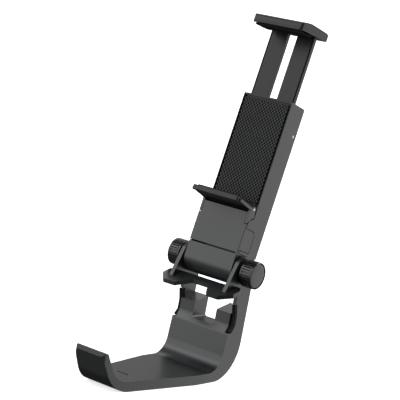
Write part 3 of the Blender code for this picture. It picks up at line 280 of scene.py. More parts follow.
def combine(base, operation, *tools):
    """Join, cut or cross a solid with others, which are used up."""
    for tool in tools:
        step = base.modifiers.new("step", "BOOLEAN")
        step.operation = operation
        step.solver = "EXACT"
        step.object = tool
    settle(base)
    for tool in tools:
        bpy.data.objects.remove(tool)
    return base


def ease(piece, width, segments=3, angle=40):
    """Merge flat faces, round the sharp edges by the mould's own radius, and shade smooth."""
    shape = bmesh.new()
    shape.from_mesh(piece.data)
    bmesh.ops.remove_doubles(shape, verts=shape.verts, dist=2e-6)
    bmesh.ops.dissolve_limit(shape, angle_limit=math.radians(0.3), verts=shape.verts,
                             edges=shape.edges)
    shape.to_mesh(piece.data)
    shape.free()
    if width > 0:
        edge = piece.modifiers.new("edge", "BEVEL")
        edge.width = width
        edge.segments = segments
        edge.limit_method = "ANGLE"
        edge.angle_limit = math.radians(angle)
        settle(piece)
    piece.data.shade_smooth()
    piece.data.set_sharp_from_angle(angle=math.radians(angle))
    even = piece.modifiers.new("even", "WEIGHTED_NORMAL")
    even.keep_sharp = True
    settle(piece)
    return piece


def fit(piece, name, body, finish, slot, *nodes):
    """Name a finished piece, give it its finish, and hang it on its body for its frame nodes."""
    piece.name = name
    piece.data.name = name
    piece.data.materials.clear()
    piece.data.materials.append(finish)
    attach(piece, body)
    if nodes:
        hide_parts(*nodes)
    return piece


satin_abs = moulded_abs("spark_grained_grey_abs", "1e2022", "232527", 0.3)

# Outlines are drawn as (y, z) in the side view, and as (x, z) in the front view.
side_view = Matrix(((0, 0, 1, 0), (1, 0, 0, 0), (0, 1, 0, 0), (0, 0, 0, 1)))
front_view = Matrix(((1, 0, 0, 0), (0, 0, 1, 0), (0, 1, 0, 0), (0, 0, 0, 1)))
along_x = Matrix.Rotation(math.pi / 2, 4, "Y")

hinge_place = Vector(frame["joints"][0]["pos_m"])
bolt_hole = 0.0022
cheek_inner = 0.01505
cradle_half = 0.017
floor_under = -0.0048
wall_back = 0.0514
wall_front = 0.0404
bumper_foot, bumper_top = 0.0193, 0.033
seat_gap = 0.0003
shelf_thick = 0.0021
shelf_tilt = math.radians(15.6)
shelf_place = Matrix.Translation((0, 0.0237, 0.0388)) @ Matrix.Rotation(shelf_tilt, 4, "X")


def bumper_outline(grow, seat):
    """The rubber strip's side view, hollowed for the controller's back, or its seat."""
    face = wall_front + 0.0009
    back = face + 0.0018 + grow
    low, high = bumper_foot - grow, bumper_top + grow
    flat_low, flat_high = bumper_foot + 0.0031, bumper_foot + 0.0079
    front = [(face - 0.0017, high), (face, flat_high, 0.008), (face, flat_low, 0.0015),
             (face - 0.0027, low, 0.0007)]
    if seat:
        front = [(0.0337, high), (0.0337, low)]
    return rounded(front + [(face, low, 0.0012), (back, flat_low, 0.004),
                            (back, flat_high, 0.008), (back - 0.0017, high)])


hook_slope = math.tan(math.radians(30.5))
ear_radius = 0.0076
shelf_foot = (0.0289, 0.0388 + 0.0052 * math.tan(shelf_tilt))
shelf_under = shelf_foot[1] - (shelf_thick / math.cos(shelf_tilt) - 0.0003)
ear_centre = (hinge_place.y, hinge_place.z)


def touch_angle(point, side):
    """Where the line from a point touches the ear's circle."""
    away = Vector(point) - Vector(ear_centre)
    return math.atan2(away.y, away.x) + side * math.acos(ear_radius / away.length)


# The side view has the hook, floor, wall and ears in one outline. The plan narrows it in front.
cheek_back = (wall_back, 0.040)
side_outline = rounded([
    (-0.045516, 0.0125), (-0.035318, floor_under, 0.025), (wall_back, floor_under, 0.0185),
    (*cheek_back, 0.006),
    *arc(ear_centre, ear_radius, touch_angle(cheek_back, 1),
         touch_angle(shelf_foot, -1) + 2 * math.pi),
    shelf_foot, (shelf_foot[0], shelf_under),
    (wall_front, shelf_under + (wall_front - shelf_foot[0]) * math.tan(shelf_tilt), 0.0015),
    (wall_front, 0.0222, 0.003), (wall_front - 0.0023, 0.0186, 0.002), (0.0367, 0, 0.009),
    (-0.0342, 0, 0.012), (-0.0342 - 0.014 * hook_slope, 0.014, 0.0008),
    (-0.0357 - 0.014 * hook_slope, 0.014)])
cradle = slab(side_outline, -0.02, 0.02, side_view)
hook_end, taper_end, past_wall, past_ears = -0.0458, 0.0188, 0.0544, 0.0603
front_half = cradle_half - 0.1345 * (taper_end - hook_end)
half_plan = [(front_half, hook_end, 0.003), (cradle_half, taper_end), (cradle_half, past_wall)]
plan = rounded(half_plan + [(-point[0], *point[1:]) for point in reversed(half_plan)])
combine(cradle, "INTERSECT", slab(plan, -0.008, past_ears, Matrix.Identity(4)))
# The cheeks stand apart, over a ledge that falls towards the front.
ledge = 0.0024 / 0.011
between_cheeks = [(0.0237, 0.0285 - 0.0167 * ledge), (past_wall, 0.0309 + 0.003 * ledge),
                  (past_wall, past_ears), (0.0237, past_ears)]
combine(cradle, "DIFFERENCE", slab(between_cheeks, -cheek_inner, cheek_inner, side_view))
# The shelf rises towards its back, with a notch cut in from its front edge.
shelf_half = [(0.0095, 0, 0.0006), (0.0165, 0, 0.0015), (0.0214, 0.006, 0.0008),
              (0.0214, 0.0115, 0.0015), (0.0195, 0.0144, 0.0012), (0.016, 0.0144), (0.016, 0.0132)]
shelf_outline = rounded(
    shelf_half + [(-point[0], *point[1:]) for point in reversed(shelf_half)]
    + [(-0.0047, 0.0082, 0.0008), (0.0047, 0.0082, 0.0008)])
combine(cradle, "UNION", slab(shelf_outline, -shelf_thick, 0, shelf_place))
# A window in the wall, a slit in the floor, the strips' seats and the bolt's hole.
window = rounded([(-0.0066, 0.0207, 0.0012), (0.0066, 0.0207, 0.0012), (0.0066, 0.0339),
                  (-0.0066, 0.0339)])
slit = rounded(oblong(-0.0033, 0.0033, -0.0178, -0.0168, 0.0004))
ear_bore = oblong(0, bolt_hole, -0.02, 0.02)
combine(cradle, "DIFFERENCE",
        slab(window, 0.0337, past_wall, front_view),
        slab(slit, -0.0015, 0.003, Matrix.Identity(4)),
        slab(bumper_outline(seat_gap, True), cradle_half - 0.002, 0.02, side_view),
        slab(bumper_outline(seat_gap, True), -0.02, 0.002 - cradle_half, side_view),
        turned(ear_bore, Matrix.Translation(hinge_place) @ along_x, 32))
ease(cradle, 0.0005)
fit(cradle, "cradle_moulding", "cradle", satin_abs, "satin_abs", "cradle")


# Rubber strips: two soft black strips let into the cheeks' front edges, hollowed to the
# controller's back. Moulded in silicone and glued in, they are matt, with a faint dusty bloom.

def soft_rubber(name, dark, bloom, roughness):
    """Black silicone: paler dust in patches of 6 mm, and a skin grain drawn coarser, at 0.5 mm."""
    made, tree, shader = open_material(name)
    place = add_node(tree, "ShaderNodeTexCoord").outputs["Object"]
    dust = add_node(tree, "ShaderNodeTexNoise", {"Vector": place, "Scale": 160.0, "Detail": 5.0})
    skin = add_node(tree, "ShaderNodeTexNoise", {"Vector": place, "Scale": 2000.0})
    bump = add_node(tree, "ShaderNodeBump", {"Height": skin.outputs[0], "Strength": 0.25,
                                             "Distance": 0.00004})
    tree.links.new(blend_colours(tree, dust.outputs[0], dark, bloom), shader.inputs["Base Color"])
    tree.links.new(bump.outputs[0], shader.inputs["Normal"])
    shader.inputs["Roughness"].default_value = roughness
    shader.inputs["IOR"].default_value = 1.42
    shader.inputs["Specular IOR Level"].default_value = 0.3
    return made


def merge(base, *others):
    """Put several finished solids into one piece."""
    shape = bmesh.new()
    for item in (base, *others):
        shape.from_mesh(item.data)
    shape.to_mesh(base.data)
    shape.free()
    for item in others:
        bpy.data.objects.remove(item)
    return base


black_silicone = soft_rubber("moulded_black_silicone", "0c0d0d", "161717", 0.75)
strips = []
for side in (-1, 1):
    ends = sorted((side * 0.0153, side * 0.0171))
    strips.append(ease(slab(bumper_outline(0, False), *ends, side_view), 0.0003))
fit(merge(*strips), "cheek_rubber_strips", "cradle", black_silicone, "rubber", "bumper_left",
    "bumper_right")


# Washers and bolts: a blackened steel washer lies under each knob. A zinc-plated M4 bolt runs
# through it into a brass nut pressed in the barrel, with a nylon washer between ear and barrel.

def plated_metal(name, dull, bright, roughness):
    """Plated or turned metal: a tint that clouds over 2.5 mm, with its fine lines left out."""
    made, tree, shader = open_material(name)
    place = add_node(tree, "ShaderNodeTexCoord").outputs["Object"]
    cloud = add_node(tree, "ShaderNodeTexNoise", {"Vector": place, "Scale": 400.0, "Detail": 4.0})
    rough = add_node(tree, "ShaderNodeMapRange", {
        "Value": cloud.outputs[0], "To Min": roughness - 0.08, "To Max": roughness + 0.08})
    tree.links.new(blend_colours(tree, cloud.outputs[0], dull, bright),
                   shader.inputs["Base Color"])
    tree.links.new(rough.outputs[0], shader.inputs["Roughness"])
    shader.inputs["Metallic"].default_value = 1
    return made


zinc_steel = plated_metal("zinc_plated_steel", "b4b7ba", "d2d4d6", 0.3)
dark_steel = plated_metal("black_oxide_steel", "2b2c2e", "38393b", 0.4)
brass = plated_metal("turned_brass", "a8823c", "c19a52", 0.32)
nylon = moulded_abs("natural_white_nylon", "cfcfca", "dcdcd8", 0.4)
for node, finish in (("knob_screw_left", zinc_steel), ("knob_screw_right", zinc_steel),
                     ("brake_spring", zinc_steel), ("insert_left", brass),
                     ("insert_right", brass), ("friction_washer_left", nylon),
                     ("friction_washer_right", nylon)):
    frame["nodes"][node].data.materials.clear()
    frame["nodes"][node].data.materials.append(finish)

washers = []
washer_radius, chamfer = 0.0056, 0.00015
for side in (-1, 1):
    low, high = sorted((side * 0.0173, side * 0.0181))
    ring = [(bolt_hole, low), (washer_radius - chamfer, low), (washer_radius, low + chamfer),
            (washer_radius, high - chamfer), (washer_radius - chamfer, high), (bolt_hole, high)]
    washers.append(ease(turned(ring, Matrix.Translation(hinge_place) @ along_x), 0))
fit(merge(*washers), "knob_washers", "cradle", dark_steel, "steel", "washer_left", "washer_right")


# Knobs: black ABS mouldings with thirty square ribs, each with a smooth grey disc clipped into
# its face. The hinge is tightened with them by hand, so the ribs are proud and blunt.

black_abs = moulded_abs("satin_black_knob_abs", "0b0b0c", "101111", 0.24)
knob_start, knob_end = 0.0184, 0.0251
knob_radius, rib_depth, rib_count = 0.00674, 0.0008, 30
dish_depth, dish_radius, disc_radius = 0.0012, 0.0064, 0.0061


def open_tree(name, *inputs):
    """A new geometry tree with its named inputs, and the outputs that they are read from."""
    tree = bpy.data.node_groups.new(name, "GeometryNodeTree")
    for label, kind in inputs:
        tree.interface.new_socket(label, in_out="INPUT", socket_type="NodeSocket" + kind)
    tree.interface.new_socket("Result", in_out="OUTPUT", socket_type="NodeSocketGeometry")
    return tree, add_node(tree, "NodeGroupInput").outputs


def close_tree(tree, geometry, finish):
    """Let a geometry tree end in plain geometry that has its material."""
    real = add_node(tree, "GeometryNodeRealizeInstances", {"Geometry": geometry})
    painted = add_node(tree, "GeometryNodeSetMaterial", {"Geometry": real.outputs[0],
                                                         "Material": finish})
    add_node(tree, "NodeGroupOutput", {"Result": painted.outputs[0]})
    return tree


def work_out(tree, operation, *values):
    """The output of a maths node on values or other outputs."""
    return add_node(tree, "ShaderNodeMath", dict(enumerate(values)),
                    operation=operation).outputs[0]


def ring_tree():
    """Geometry nodes that stand a number of ribs round a drum, with their roots in it."""
    tree, given = open_tree("ribs_round_a_drum", ("Rib", "Object"), ("Count", "Int"),
                            ("Radius", "Float"), ("Finish", "Material"))
    drum = add_node(tree, "GeometryNodeMeshCircle", {"Vertices": given["Count"],
                                                     "Radius": given["Radius"]})
    step = work_out(tree, "DIVIDE", 2 * math.pi, given["Count"])
    index = add_node(tree, "GeometryNodeInputIndex").outputs[0]
    facing = add_node(tree, "ShaderNodeCombineXYZ",
                      {"Z": work_out(tree, "MULTIPLY", index, step)})
    turn_to = add_node(tree, "FunctionNodeEulerToRotation", {0: facing.outputs[0]})
    rib = add_node(tree, "GeometryNodeObjectInfo", {"Object": given["Rib"]})
    ribs = add_node(tree, "GeometryNodeInstanceOnPoints", {
        "Points": drum.outputs[0], "Instance": rib.outputs["Geometry"],
        "Rotation": turn_to.outputs[0]})
    return close_tree(tree, ribs.outputs[0], given["Finish"])


def grow(tree, values):
    """What a geometry tree makes from its named inputs, as a plain mesh object."""
    made = solid(bmesh.new(), Matrix.Identity(4))
    growth = made.modifiers.new("growth", "NODES")
    growth.node_group = tree
    for item in tree.interface.items_tree:
        if item.in_out == "INPUT" and item.name in values:
            growth[item.identifier] = values[item.name]
    settle(made)
    return made


rib_ring = ring_tree()
for side, letters in ((-1, "left"), (1, "right")):
    axis = Matrix.Translation(hinge_place) @ (along_x if side > 0 else
                                              Matrix.Rotation(math.pi, 4, "Z") @ along_x)
    core_radius = knob_radius - rib_depth
    collar = knob_radius - 0.0001
    core = turned([(0, knob_start), (collar - 0.0003, knob_start), (collar, knob_start + 0.0003),
                   (collar, knob_start + 0.0010), (core_radius, knob_start + 0.0014),
                   (core_radius, knob_end - 0.0012), (collar, knob_end - 0.0008),
                   (collar, knob_end - 0.0002), (collar - 0.0002, knob_end),
                   (dish_radius, knob_end), (dish_radius, knob_end - dish_depth),
                   (0, knob_end - dish_depth)], axis, 90)
    ease(core, 0)
    blank = [(-0.0006, -0.00044), (0.0002, -0.00047), (rib_depth, -0.00044),
             (rib_depth, 0.00044), (0.0002, 0.00047), (-0.0006, 0.00044)]
    rib = ease(slab(blank, knob_start + 0.0011, knob_end - 0.0008, Matrix.Identity(4)),
               0.00014, 2)
    ribs = grow(rib_ring, {"Rib": rib, "Count": rib_count, "Radius": core_radius,
                           "Finish": black_abs})
    ribs.data.transform(axis)
    bpy.data.objects.remove(rib)
    fit(merge(core, ribs), "knob_grip_" + letters, "knob_" + letters, black_abs, "knob_abs",
        "knob_" + letters)
    dome = [(0, knob_end)] + [(disc_radius * share, knob_end - 0.0003 * share ** 4)
                              for share in (0.3, 0.6, 0.8, 0.9, 0.95)]
    dome += [(radius, knob_end - depth) for radius, depth in (
        (disc_radius - 0.00015, 0.0003), (disc_radius - 0.00005, 0.0004), (disc_radius, 0.0006),
        (disc_radius, 0.0011), (0, 0.0011))]
    fit(ease(turned(dome, axis, 90), 0, angle=50), "knob_face_disc_" + letters, "knob_" + letters,
        satin_abs, "satin_abs", "knob_cap_" + letters)


# Hinge block: the barrel between the ears, moulded solid in the same grey ABS, with a seat for
# the nylon washer and a bore for the brass nut at each end. The housing closes round its tenon,
# and the shoulder with its two end walls closes the parting line from inside.

lean = math.radians(13.7)
barrel_radius, underside_slope = 0.0075, math.radians(20)
housing_half = 0.01425
housing_depth, panel_step, housing_foot = 0.0129, 0.0056, 0.00756
arm_place = Matrix.Translation(hinge_place) @ Matrix.Rotation(-lean, 4, "X")
housing_place = arm_place @ Matrix.Translation((0, panel_step - barrel_radius, housing_foot))
housing_front = housing_place @ front_view
block_back = housing_depth + panel_step - barrel_radius
block_top = housing_foot - 0.00045
barrel = arc((0, 0), barrel_radius, math.pi, 1.5 * math.pi + underside_slope)
heel_rise = (block_back - barrel[-1][0]) * math.tan(underside_slope)
block = slab(rounded([(-barrel_radius, block_top), *barrel,
                      (block_back, barrel[-1][1] + heel_rise, 0.005), (block_back, block_top)]),
             -housing_half, housing_half, arm_place @ side_view)
# Each bore is given by its radius and by how far from the middle it starts.
washer_seat, nut_bore, past_end = (0.0057, 0.01375), (0.0038, 0.00635), 0.0148
for side in (-1, 1):
    for radius, start in (washer_seat, nut_bore):
        bore = oblong(0, radius, *sorted((side * start, side * past_end)))
        combine(block, "DIFFERENCE", turned(bore, arm_place @ along_x))
ease(block, 0.00025)
tenon_half = 0.01265
tenon = slab(oblong(-tenon_half, tenon_half, 0.0, 0.0130), 0.0, 0.0092,
             arm_place @ Matrix.Translation((0, 0, 0.0069)) @ front_view)
ease(tenon, 0.0002)
shoulder_back = housing_depth - 0.0006
shoulder = slab(oblong(-0.0137, 0.0137, -0.0006, 0.0001), 0.0035, shoulder_back, housing_front)
ends = [slab(oblong(x, x + 0.001, -0.0006, 0.0001), -0.0053, shoulder_back, housing_front)
        for x in (-0.0141, 0.0131)]
fit(merge(block, tenon, shoulder, *ends), "hinge_barrel_block", "arm", satin_abs, "satin_abs",
    "hinge_block")


# Housing: the grey channel that the rails slide in, moulded with thin side walls and a screwed
# back. Four small screws hold it to the front panel and to the dark frame behind the pad.
# A thin lip down each side stands beside the pad's black groove.

along_y = Matrix.Rotation(-math.pi / 2, 4, "X")
housing_side = housing_place @ side_view
housing_length = 0.0781
cavity_half, cavity_back = 0.01295, 0.0114
panel_front, panel_inner = -0.0056, -0.0043
jaw_pin_y, jaw_pin_z = -0.0027, 0.0224
frame_foot = 0.0249


def heel_outline(grow):
    """The stop tooth under the lower jaw's pin, grown by a clearance."""
    drop = grow / math.cos(math.radians(40))
    return [(panel_front - grow, jaw_pin_z - 0.0078 - drop, 0.0001),
            (panel_front + 0.0029, jaw_pin_z - 0.0050 - drop, 0.0015),
            (panel_front + 0.0051 + grow, jaw_pin_z - 0.0037 - drop, 0.0006)]


wall_front_edge, wall_foot, step_foot = 0.0015, 0.00015, frame_foot - 0.0007
shell = slab(rounded([(panel_inner + 0.0003, wall_foot), (housing_depth, wall_foot),
                      (housing_depth, housing_length, 0.0012), (wall_front_edge, housing_length),
                      (wall_front_edge, step_foot, 0.0008), (panel_inner + 0.0003, step_foot)]),
             -housing_half, housing_half, housing_side)
cavity = oblong(-cavity_half, cavity_half, -0.002, housing_length - 0.0016)
mouth = oblong(-cavity_half, cavity_half, housing_length - 0.0032, housing_length + 0.002)
pivot_gap = 0.00035
clear_front, clear_back = panel_front - 0.002, panel_front + 0.00545
clear_top = frame_foot + 0.002
pivot_room = rounded([(panel_front - pivot_gap, jaw_pin_z), *heel_outline(pivot_gap),
                      (clear_back, jaw_pin_z - 0.0012, 0.0008), (clear_back, clear_top),
                      (clear_front, clear_top), (clear_front, jaw_pin_z)])
lug_notch = rounded([(panel_front, 0.0014), (0.0050, 0.0014), (0.0050, 0.0126, 0.0033),
                     (panel_front, 0.0126)])
wide = 0.016
combine(shell, "DIFFERENCE", slab(cavity, clear_front, cavity_back, housing_front),
        slab(mouth, -0.002, 0.0059, housing_front), slab(pivot_room, -wide, wide, housing_side),
        slab(lug_notch, -wide, wide, housing_side))
screw_places = [(-0.008, 0.007), (0.008, 0.007), (0, 0.0673), (0, 0.0735)]
stop_pin, screw_seat = (0.0107, 0.0633), 0.0115
bores = [turned(oblong(0, 0.00095, -wide, wide),
                housing_place @ Matrix.Translation((0, *stop_pin)) @ along_x, 32)]
for x, z in screw_places:
    spot = housing_place @ Matrix.Translation((x, 0, z)) @ along_y
    bores.append(turned(oblong(0, 0.002, screw_seat, 0.015), spot, 48))
    bores.append(turned(oblong(0, 0.001, 0.010, 0.0125), spot, 32))
combine(shell, "DIFFERENCE", *bores)
ease(shell, 0.00025)
# Two ribs on the back wall keep the rails forward in the channel.
guides = [slab(oblong(x - 0.0006, x + 0.0006, 0.0142, 0.0765), 0.0063, 0.0116, housing_front)
          for x in (-0.0068, 0.0068)]
lip_width = 0.0004
lip_inner = housing_half - lip_width
lips = [slab(oblong(x, x + lip_width, frame_foot - 0.0009, housing_length), -0.0003, 0.0017,
             housing_front) for x in (lip_inner, -housing_half)]
fit(merge(shell, *[ease(part, 0.00018) for part in guides + lips]), "housing_channel", "arm",
    satin_abs, "satin_abs", "rear_shell")


# Front panel: the plain grey cover over the hinge, left bare. Its two lugs close the channel's
# notches at the sides, and two screws from the back hold it.

neck_half, neck_foot, neck_top = 0.01282, 0.01452, 0.0204
half_panel = [(housing_half, 0.00025), (housing_half, neck_foot, 0.0001), (neck_half, neck_foot),
              (neck_half, neck_top, 0.0002)]
panel = slab(rounded([(-housing_half, 0.00025), *half_panel]
                     + [(-x, *rest) for x, *rest in reversed(half_panel[1:])]),
             panel_front, panel_inner, housing_front)
lug = rounded([(panel_inner - 0.0001, 0.0017), (0.0047, 0.0017), (0.0047, 0.0123, 0.003),
               (panel_inner - 0.0001, 0.0123)])
combine(panel, "UNION", slab(lug, -housing_half, -cavity_half, housing_side),
        slab(lug, cavity_half, housing_half, housing_side))
corner_line = oblong(panel_front + 0.00025, panel_front + 0.0005, 0.0004, 0.0142)
combine(panel, "DIFFERENCE",
        slab(corner_line, housing_half - 0.0003, housing_half + 0.001, housing_side),
        slab(corner_line, -housing_half - 0.001, 0.0003 - housing_half, housing_side))
ease(panel, 0.00016, 2)
lid = slab(oblong(-0.012, 0.012, 0.0178, 0.0198), -0.0046, -0.0006, housing_front)
fit(merge(panel, ease(lid, 0.0002)), "front_panel", "arm", satin_abs, "satin_abs", "lower_cover")


# Pad frame: the darker ABS plate that the pad is glued on, rimmed at its top and foot and open
# at its sides, where a black groove runs beside the housing's lips. It carries the lower jaw's
# knuckle at its foot, a tongue between the housing's walls, and two posts for its screws.

dark_abs = moulded_abs("satin_dark_grey_abs", "161718", "1b1c1d", 0.34)
dark_abs.node_tree.nodes["Principled BSDF"].inputs["Specular IOR Level"].default_value = 0.27
rim_half = lip_inner - 0.0001
plate_back = 0.0012
plate = slab(rounded([(-rim_half, frame_foot), (rim_half, frame_foot),
                      (rim_half, housing_length, 0.0012), (-rim_half, housing_length, 0.0012)]),
             0, plate_back, housing_front)
pad_foot, pad_top, pad_seat = 0.0255, 0.0763, 0.0010
recess = oblong(-rim_half - 0.0005, rim_half + 0.0005, pad_foot - 0.0002, pad_top + 0.0009)
combine(plate, "DIFFERENCE", slab(recess, -0.001, pad_seat, housing_front))
ease(plate, 0.0002)
tongue = slab(oblong(-tenon_half, tenon_half, 0.0255, 0.078), 0.0009, 0.0029, housing_front)
nose, knuckle_back = 0.0017, 0.0023
knuckle = slab([(knuckle_back, 0.0261), (0.0006, 0.0261), (0.0006, jaw_pin_z + nose),
                *arc((jaw_pin_y, jaw_pin_z), nose, math.pi / 2, 1.5 * math.pi),
                (knuckle_back, jaw_pin_z - nose)], -0.01205, 0.01205, housing_side)
posts = [turned(oblong(0, 0.0022, 0.0016, 0.0091),
                housing_place @ Matrix.Translation((x, 0, z)) @ along_y, 48)
         for x, z in screw_places[2:]]
fit(merge(plate, ease(tongue, 0.0002), ease(knuckle, 0.0002), *[ease(post, 0) for post in posts]),
    "pad_frame", "arm", dark_abs, "dark_abs", "front_frame")


# Back pad: a soft sheet with an embossed diamond net that the phone's back rests on, moulded in
# black silicone and glued in the frame. A painted highlight lies on the net's crests and painted
# shade in its pits. A thin backing lies under it and shows as the black groove at each side.

painted_light_pad_net = soft_rubber("embossed_black_silicone_with_painted_crest_light", "0a0b0b", "111212", 0.6)
tree = painted_light_pad_net.node_tree
shader = tree.nodes["Principled BSDF"]
shader.inputs["Specular IOR Level"].default_value = 0.12
# Painted highlight and painted shade: the base colour runs from black in the net's pits to grey on
# its crests, by the relief's height.
height = add_node(tree, "ShaderNodeAttribute", attribute_name="relief")
tree.links.new(blend_colours(tree, height.outputs["Fac"], "000000", "4c4d4d"),
               shader.inputs["Base Color"])


def relief_tree():
    """Geometry nodes that emboss a flat sheet with a net of diamonds, flat along its border."""
    tree, given = open_tree("embossed_diamond_net", ("Width", "Float"), ("Height", "Float"),
                            ("Pitch Across", "Float"), ("Pitch Along", "Float"),
                            ("Depth", "Float"), ("Columns", "Int"), ("Rows", "Int"),
                            ("Finish", "Material"))
    sheet = add_node(tree, "GeometryNodeMeshGrid", {
        "Size X": given["Width"], "Size Y": given["Height"], "Vertices X": given["Columns"],
        "Vertices Y": given["Rows"]})
    spot = add_node(tree, "ShaderNodeSeparateXYZ",
                    {0: add_node(tree, "GeometryNodeInputPosition").outputs[0]}).outputs
    waves, edges = [], []
    for axis, size, pitch in (("X", "Width", "Pitch Across"), ("Y", "Height", "Pitch Along")):
        turns = work_out(tree, "DIVIDE", spot[axis], given[pitch])
        waves.append(work_out(tree, "COSINE", work_out(tree, "MULTIPLY", turns, 2 * math.pi)))
        border = work_out(tree, "MULTIPLY_ADD", given[size], 0.5, -0.00015)
        edges.append(work_out(tree, "LESS_THAN", work_out(tree, "ABSOLUTE", spot[axis]), border))
    crest = add_node(tree, "ShaderNodeMapRange", {
        "Value": work_out(tree, "MULTIPLY", *waves), "From Min": -0.7, "From Max": 0.7},
        interpolation_type="SMOOTHSTEP")
    relief = work_out(tree, "MULTIPLY", crest.outputs[0], work_out(tree, "MULTIPLY", *edges))
    # The stored relief also drives the net's painted highlight on its crests and painted shade in
    # its pits.
    marked = add_node(tree, "GeometryNodeStoreNamedAttribute", {
        "Geometry": sheet.outputs[0], "Name": "relief", "Value": relief},
        data_type="FLOAT", domain="POINT")
    offset = add_node(tree, "ShaderNodeCombineXYZ",
                      {"Z": work_out(tree, "MULTIPLY", relief, given["Depth"])})
    raised = add_node(tree, "GeometryNodeSetPosition", {
        "Geometry": marked.outputs[0], "Offset": offset.outputs[0]})
    return close_tree(tree, raised.outputs[0], given["Finish"])


pad_half = 0.0131
net_width, net_height = 2 * pad_half - 0.0002, pad_top - pad_foot - 0.0002
sheet = grow(relief_tree(), {"Width": net_width, "Height": net_height, "Pitch Across": 0.0018,
                             "Pitch Along": 0.00219, "Depth": 0.0004, "Columns": 147,
                             "Rows": 241, "Finish": painted_light_pad_net})
# The sheet gets a skirt and an underside, so that it is a closed solid.
skin = bmesh.new()
skin.from_mesh(sheet.data)
skirt = bmesh.ops.extrude_edge_only(skin, edges=[e for e in skin.edges if e.is_boundary])["geom"]
bmesh.ops.translate(skin, vec=(0, 0, -0.0002),
                    verts=[item for item in skirt if isinstance(item, bmesh.types.BMVert)])
bmesh.ops.holes_fill(skin, edges=[e for e in skin.edges if e.is_boundary])
bmesh.ops.recalc_face_normals(skin, faces=skin.faces)
skin.to_mesh(sheet.data)
skin.free()
sheet.data.shade_smooth()
sheet.data.set_sharp_from_angle(angle=math.radians(70))
sheet.data.transform(housing_place @ Matrix.Translation((0, -0.00005, (pad_foot + pad_top) / 2))
                     @ Matrix.Rotation(math.pi / 2, 4, "X"))
backing = ease(slab(rounded(oblong(-pad_half, pad_half, pad_foot, pad_top, 0.0006)),
                    -0.00003, 0.0008, housing_front), 0.0002)
flange = slab(oblong(-rim_half, rim_half, pad_foot, pad_top + 0.0004), pad_seat, plate_back,
              housing_front)
fit(merge(backing, flange), "pad_backing", "arm", black_silicone, "rubber", "back_pad")
fit(sheet, "pad_diamond_net", "arm", painted_light_pad_net, "rubber", "back_pad")


# Pins and screws: zinc-plated steel pins, one through the lower jaw's cheeks and one across the
# channel behind the rails, pressed in flush. The four screws in the back have cross recesses.

pin_end, pin_waist, head_thick = housing_half + 0.00005, 0.00075, 0.0006
pins = []
for y, z, head in ((jaw_pin_y, jaw_pin_z, 0.0010), (*stop_pin, 0.0008)):
    half_pin = [(0, pin_end), (head - 0.0004, pin_end - 0.00003), (head, pin_end - 0.0002),
                (head, pin_end - head_thick), (pin_waist, pin_end - head_thick)]
    profile = [(radius, -reach) for radius, reach in half_pin] + half_pin[::-1]
    pins.append(ease(turned(profile, housing_place @ Matrix.Translation((0, y, z)) @ along_x, 40),
                     0))
fit(merge(*pins), "steel_cross_pins", "arm", zinc_steel, "steel", "jaw_pin", "stop_pin")

head_top = housing_depth - 0.00015
head_seat, head_radius, shank_radius = head_top - 0.0012, 0.0017, 0.0008
screw = turned([(0, head_top - 0.0087), (shank_radius, head_top - 0.008),
                (shank_radius, head_seat), (head_radius, head_seat),
                (head_radius, head_top - 0.0004), (0.0015, head_top - 0.00012),
                (0.0011, head_top), (0, head_top)], along_y, 40)
for half_x, half_z in ((0.001, 0.00022), (0.00022, 0.001)):
    combine(screw, "DIFFERENCE", slab(oblong(-half_x, half_x, -half_z, half_z),
                                      head_top - 0.0006, head_top + 0.001, front_view))
ease(screw, 0)


def spread_tree():
    """Geometry nodes that set one fastener on every point of a carrier."""
    tree, given = open_tree("fasteners_on_points", ("Carrier", "Object"), ("Fastener", "Object"),
                            ("Finish", "Material"))
    carrier = add_node(tree, "GeometryNodeObjectInfo", {"Object": given["Carrier"]})
    fastener = add_node(tree, "GeometryNodeObjectInfo", {"Object": given["Fastener"]})
    all_set = add_node(tree, "GeometryNodeInstanceOnPoints", {
        "Points": carrier.outputs["Geometry"], "Instance": fastener.outputs["Geometry"]})
    return close_tree(tree, all_set.outputs[0], given["Finish"])


shape = bmesh.new()
for x, z in screw_places:
    shape.verts.new((x, 0, z))
carrier = solid(shape, Matrix.Identity(4))
screws = grow(spread_tree(), {"Carrier": carrier, "Fastener": screw, "Finish": zinc_steel})
screws.data.transform(housing_place)
bpy.data.objects.remove(carrier)
bpy.data.objects.remove(screw)
fit(screws, "housing_screws", "arm", zinc_steel, "steel",
    *[f"shell_screw_{i}" for i in range(1, 5)])


# Lower jaw: an ABS moulding that swings on its pin, with a dark plate, a front lip, and a
# lighter cheek at each side whose heel stops it. A soft pad glued on the plate carries the
# phone's lower edge.

fold_tilt = math.radians(9.4)
fold_place = (housing_place @ Matrix.Translation((0, jaw_pin_y, jaw_pin_z))
              @ Matrix.Rotation(-fold_tilt, 4, "X"))
boss = 0.0015
plate_half, lip_half, lip_back = 0.013, 0.0135, -0.0146
tip_up = Matrix.Rotation(fold_tilt, 2)
heel = [(*(tip_up @ (Vector(corner[:2]) - Vector((jaw_pin_y, jaw_pin_z)))), corner[2])
        for corner in heel_outline(0)]
cheek_foot = -0.00135
cheek = rounded([(-0.0140, cheek_foot, 0.0003), (-0.0140, 0.0, 0.0005),
                 *arc((0, 0), boss, math.pi - math.asin(0.0003 / boss), 0), *reversed(heel),
                 (cheek_foot - boss, cheek_foot, 0.0006)])
jaw = slab(rounded([(-plate_half, -0.0024), (-plate_half, -0.0160, 0.0012),
                    (plate_half, -0.0160, 0.0012), (plate_half, -0.0024)]),
           -0.00125, 0.00005, fold_place)
ease(jaw, 0.0002)
cheeks = [ease(slab(cheek, *sorted((side * 0.0129, side * housing_half)),
                    fold_place @ side_view), 0.00012, 2) for side in (-1, 1)]
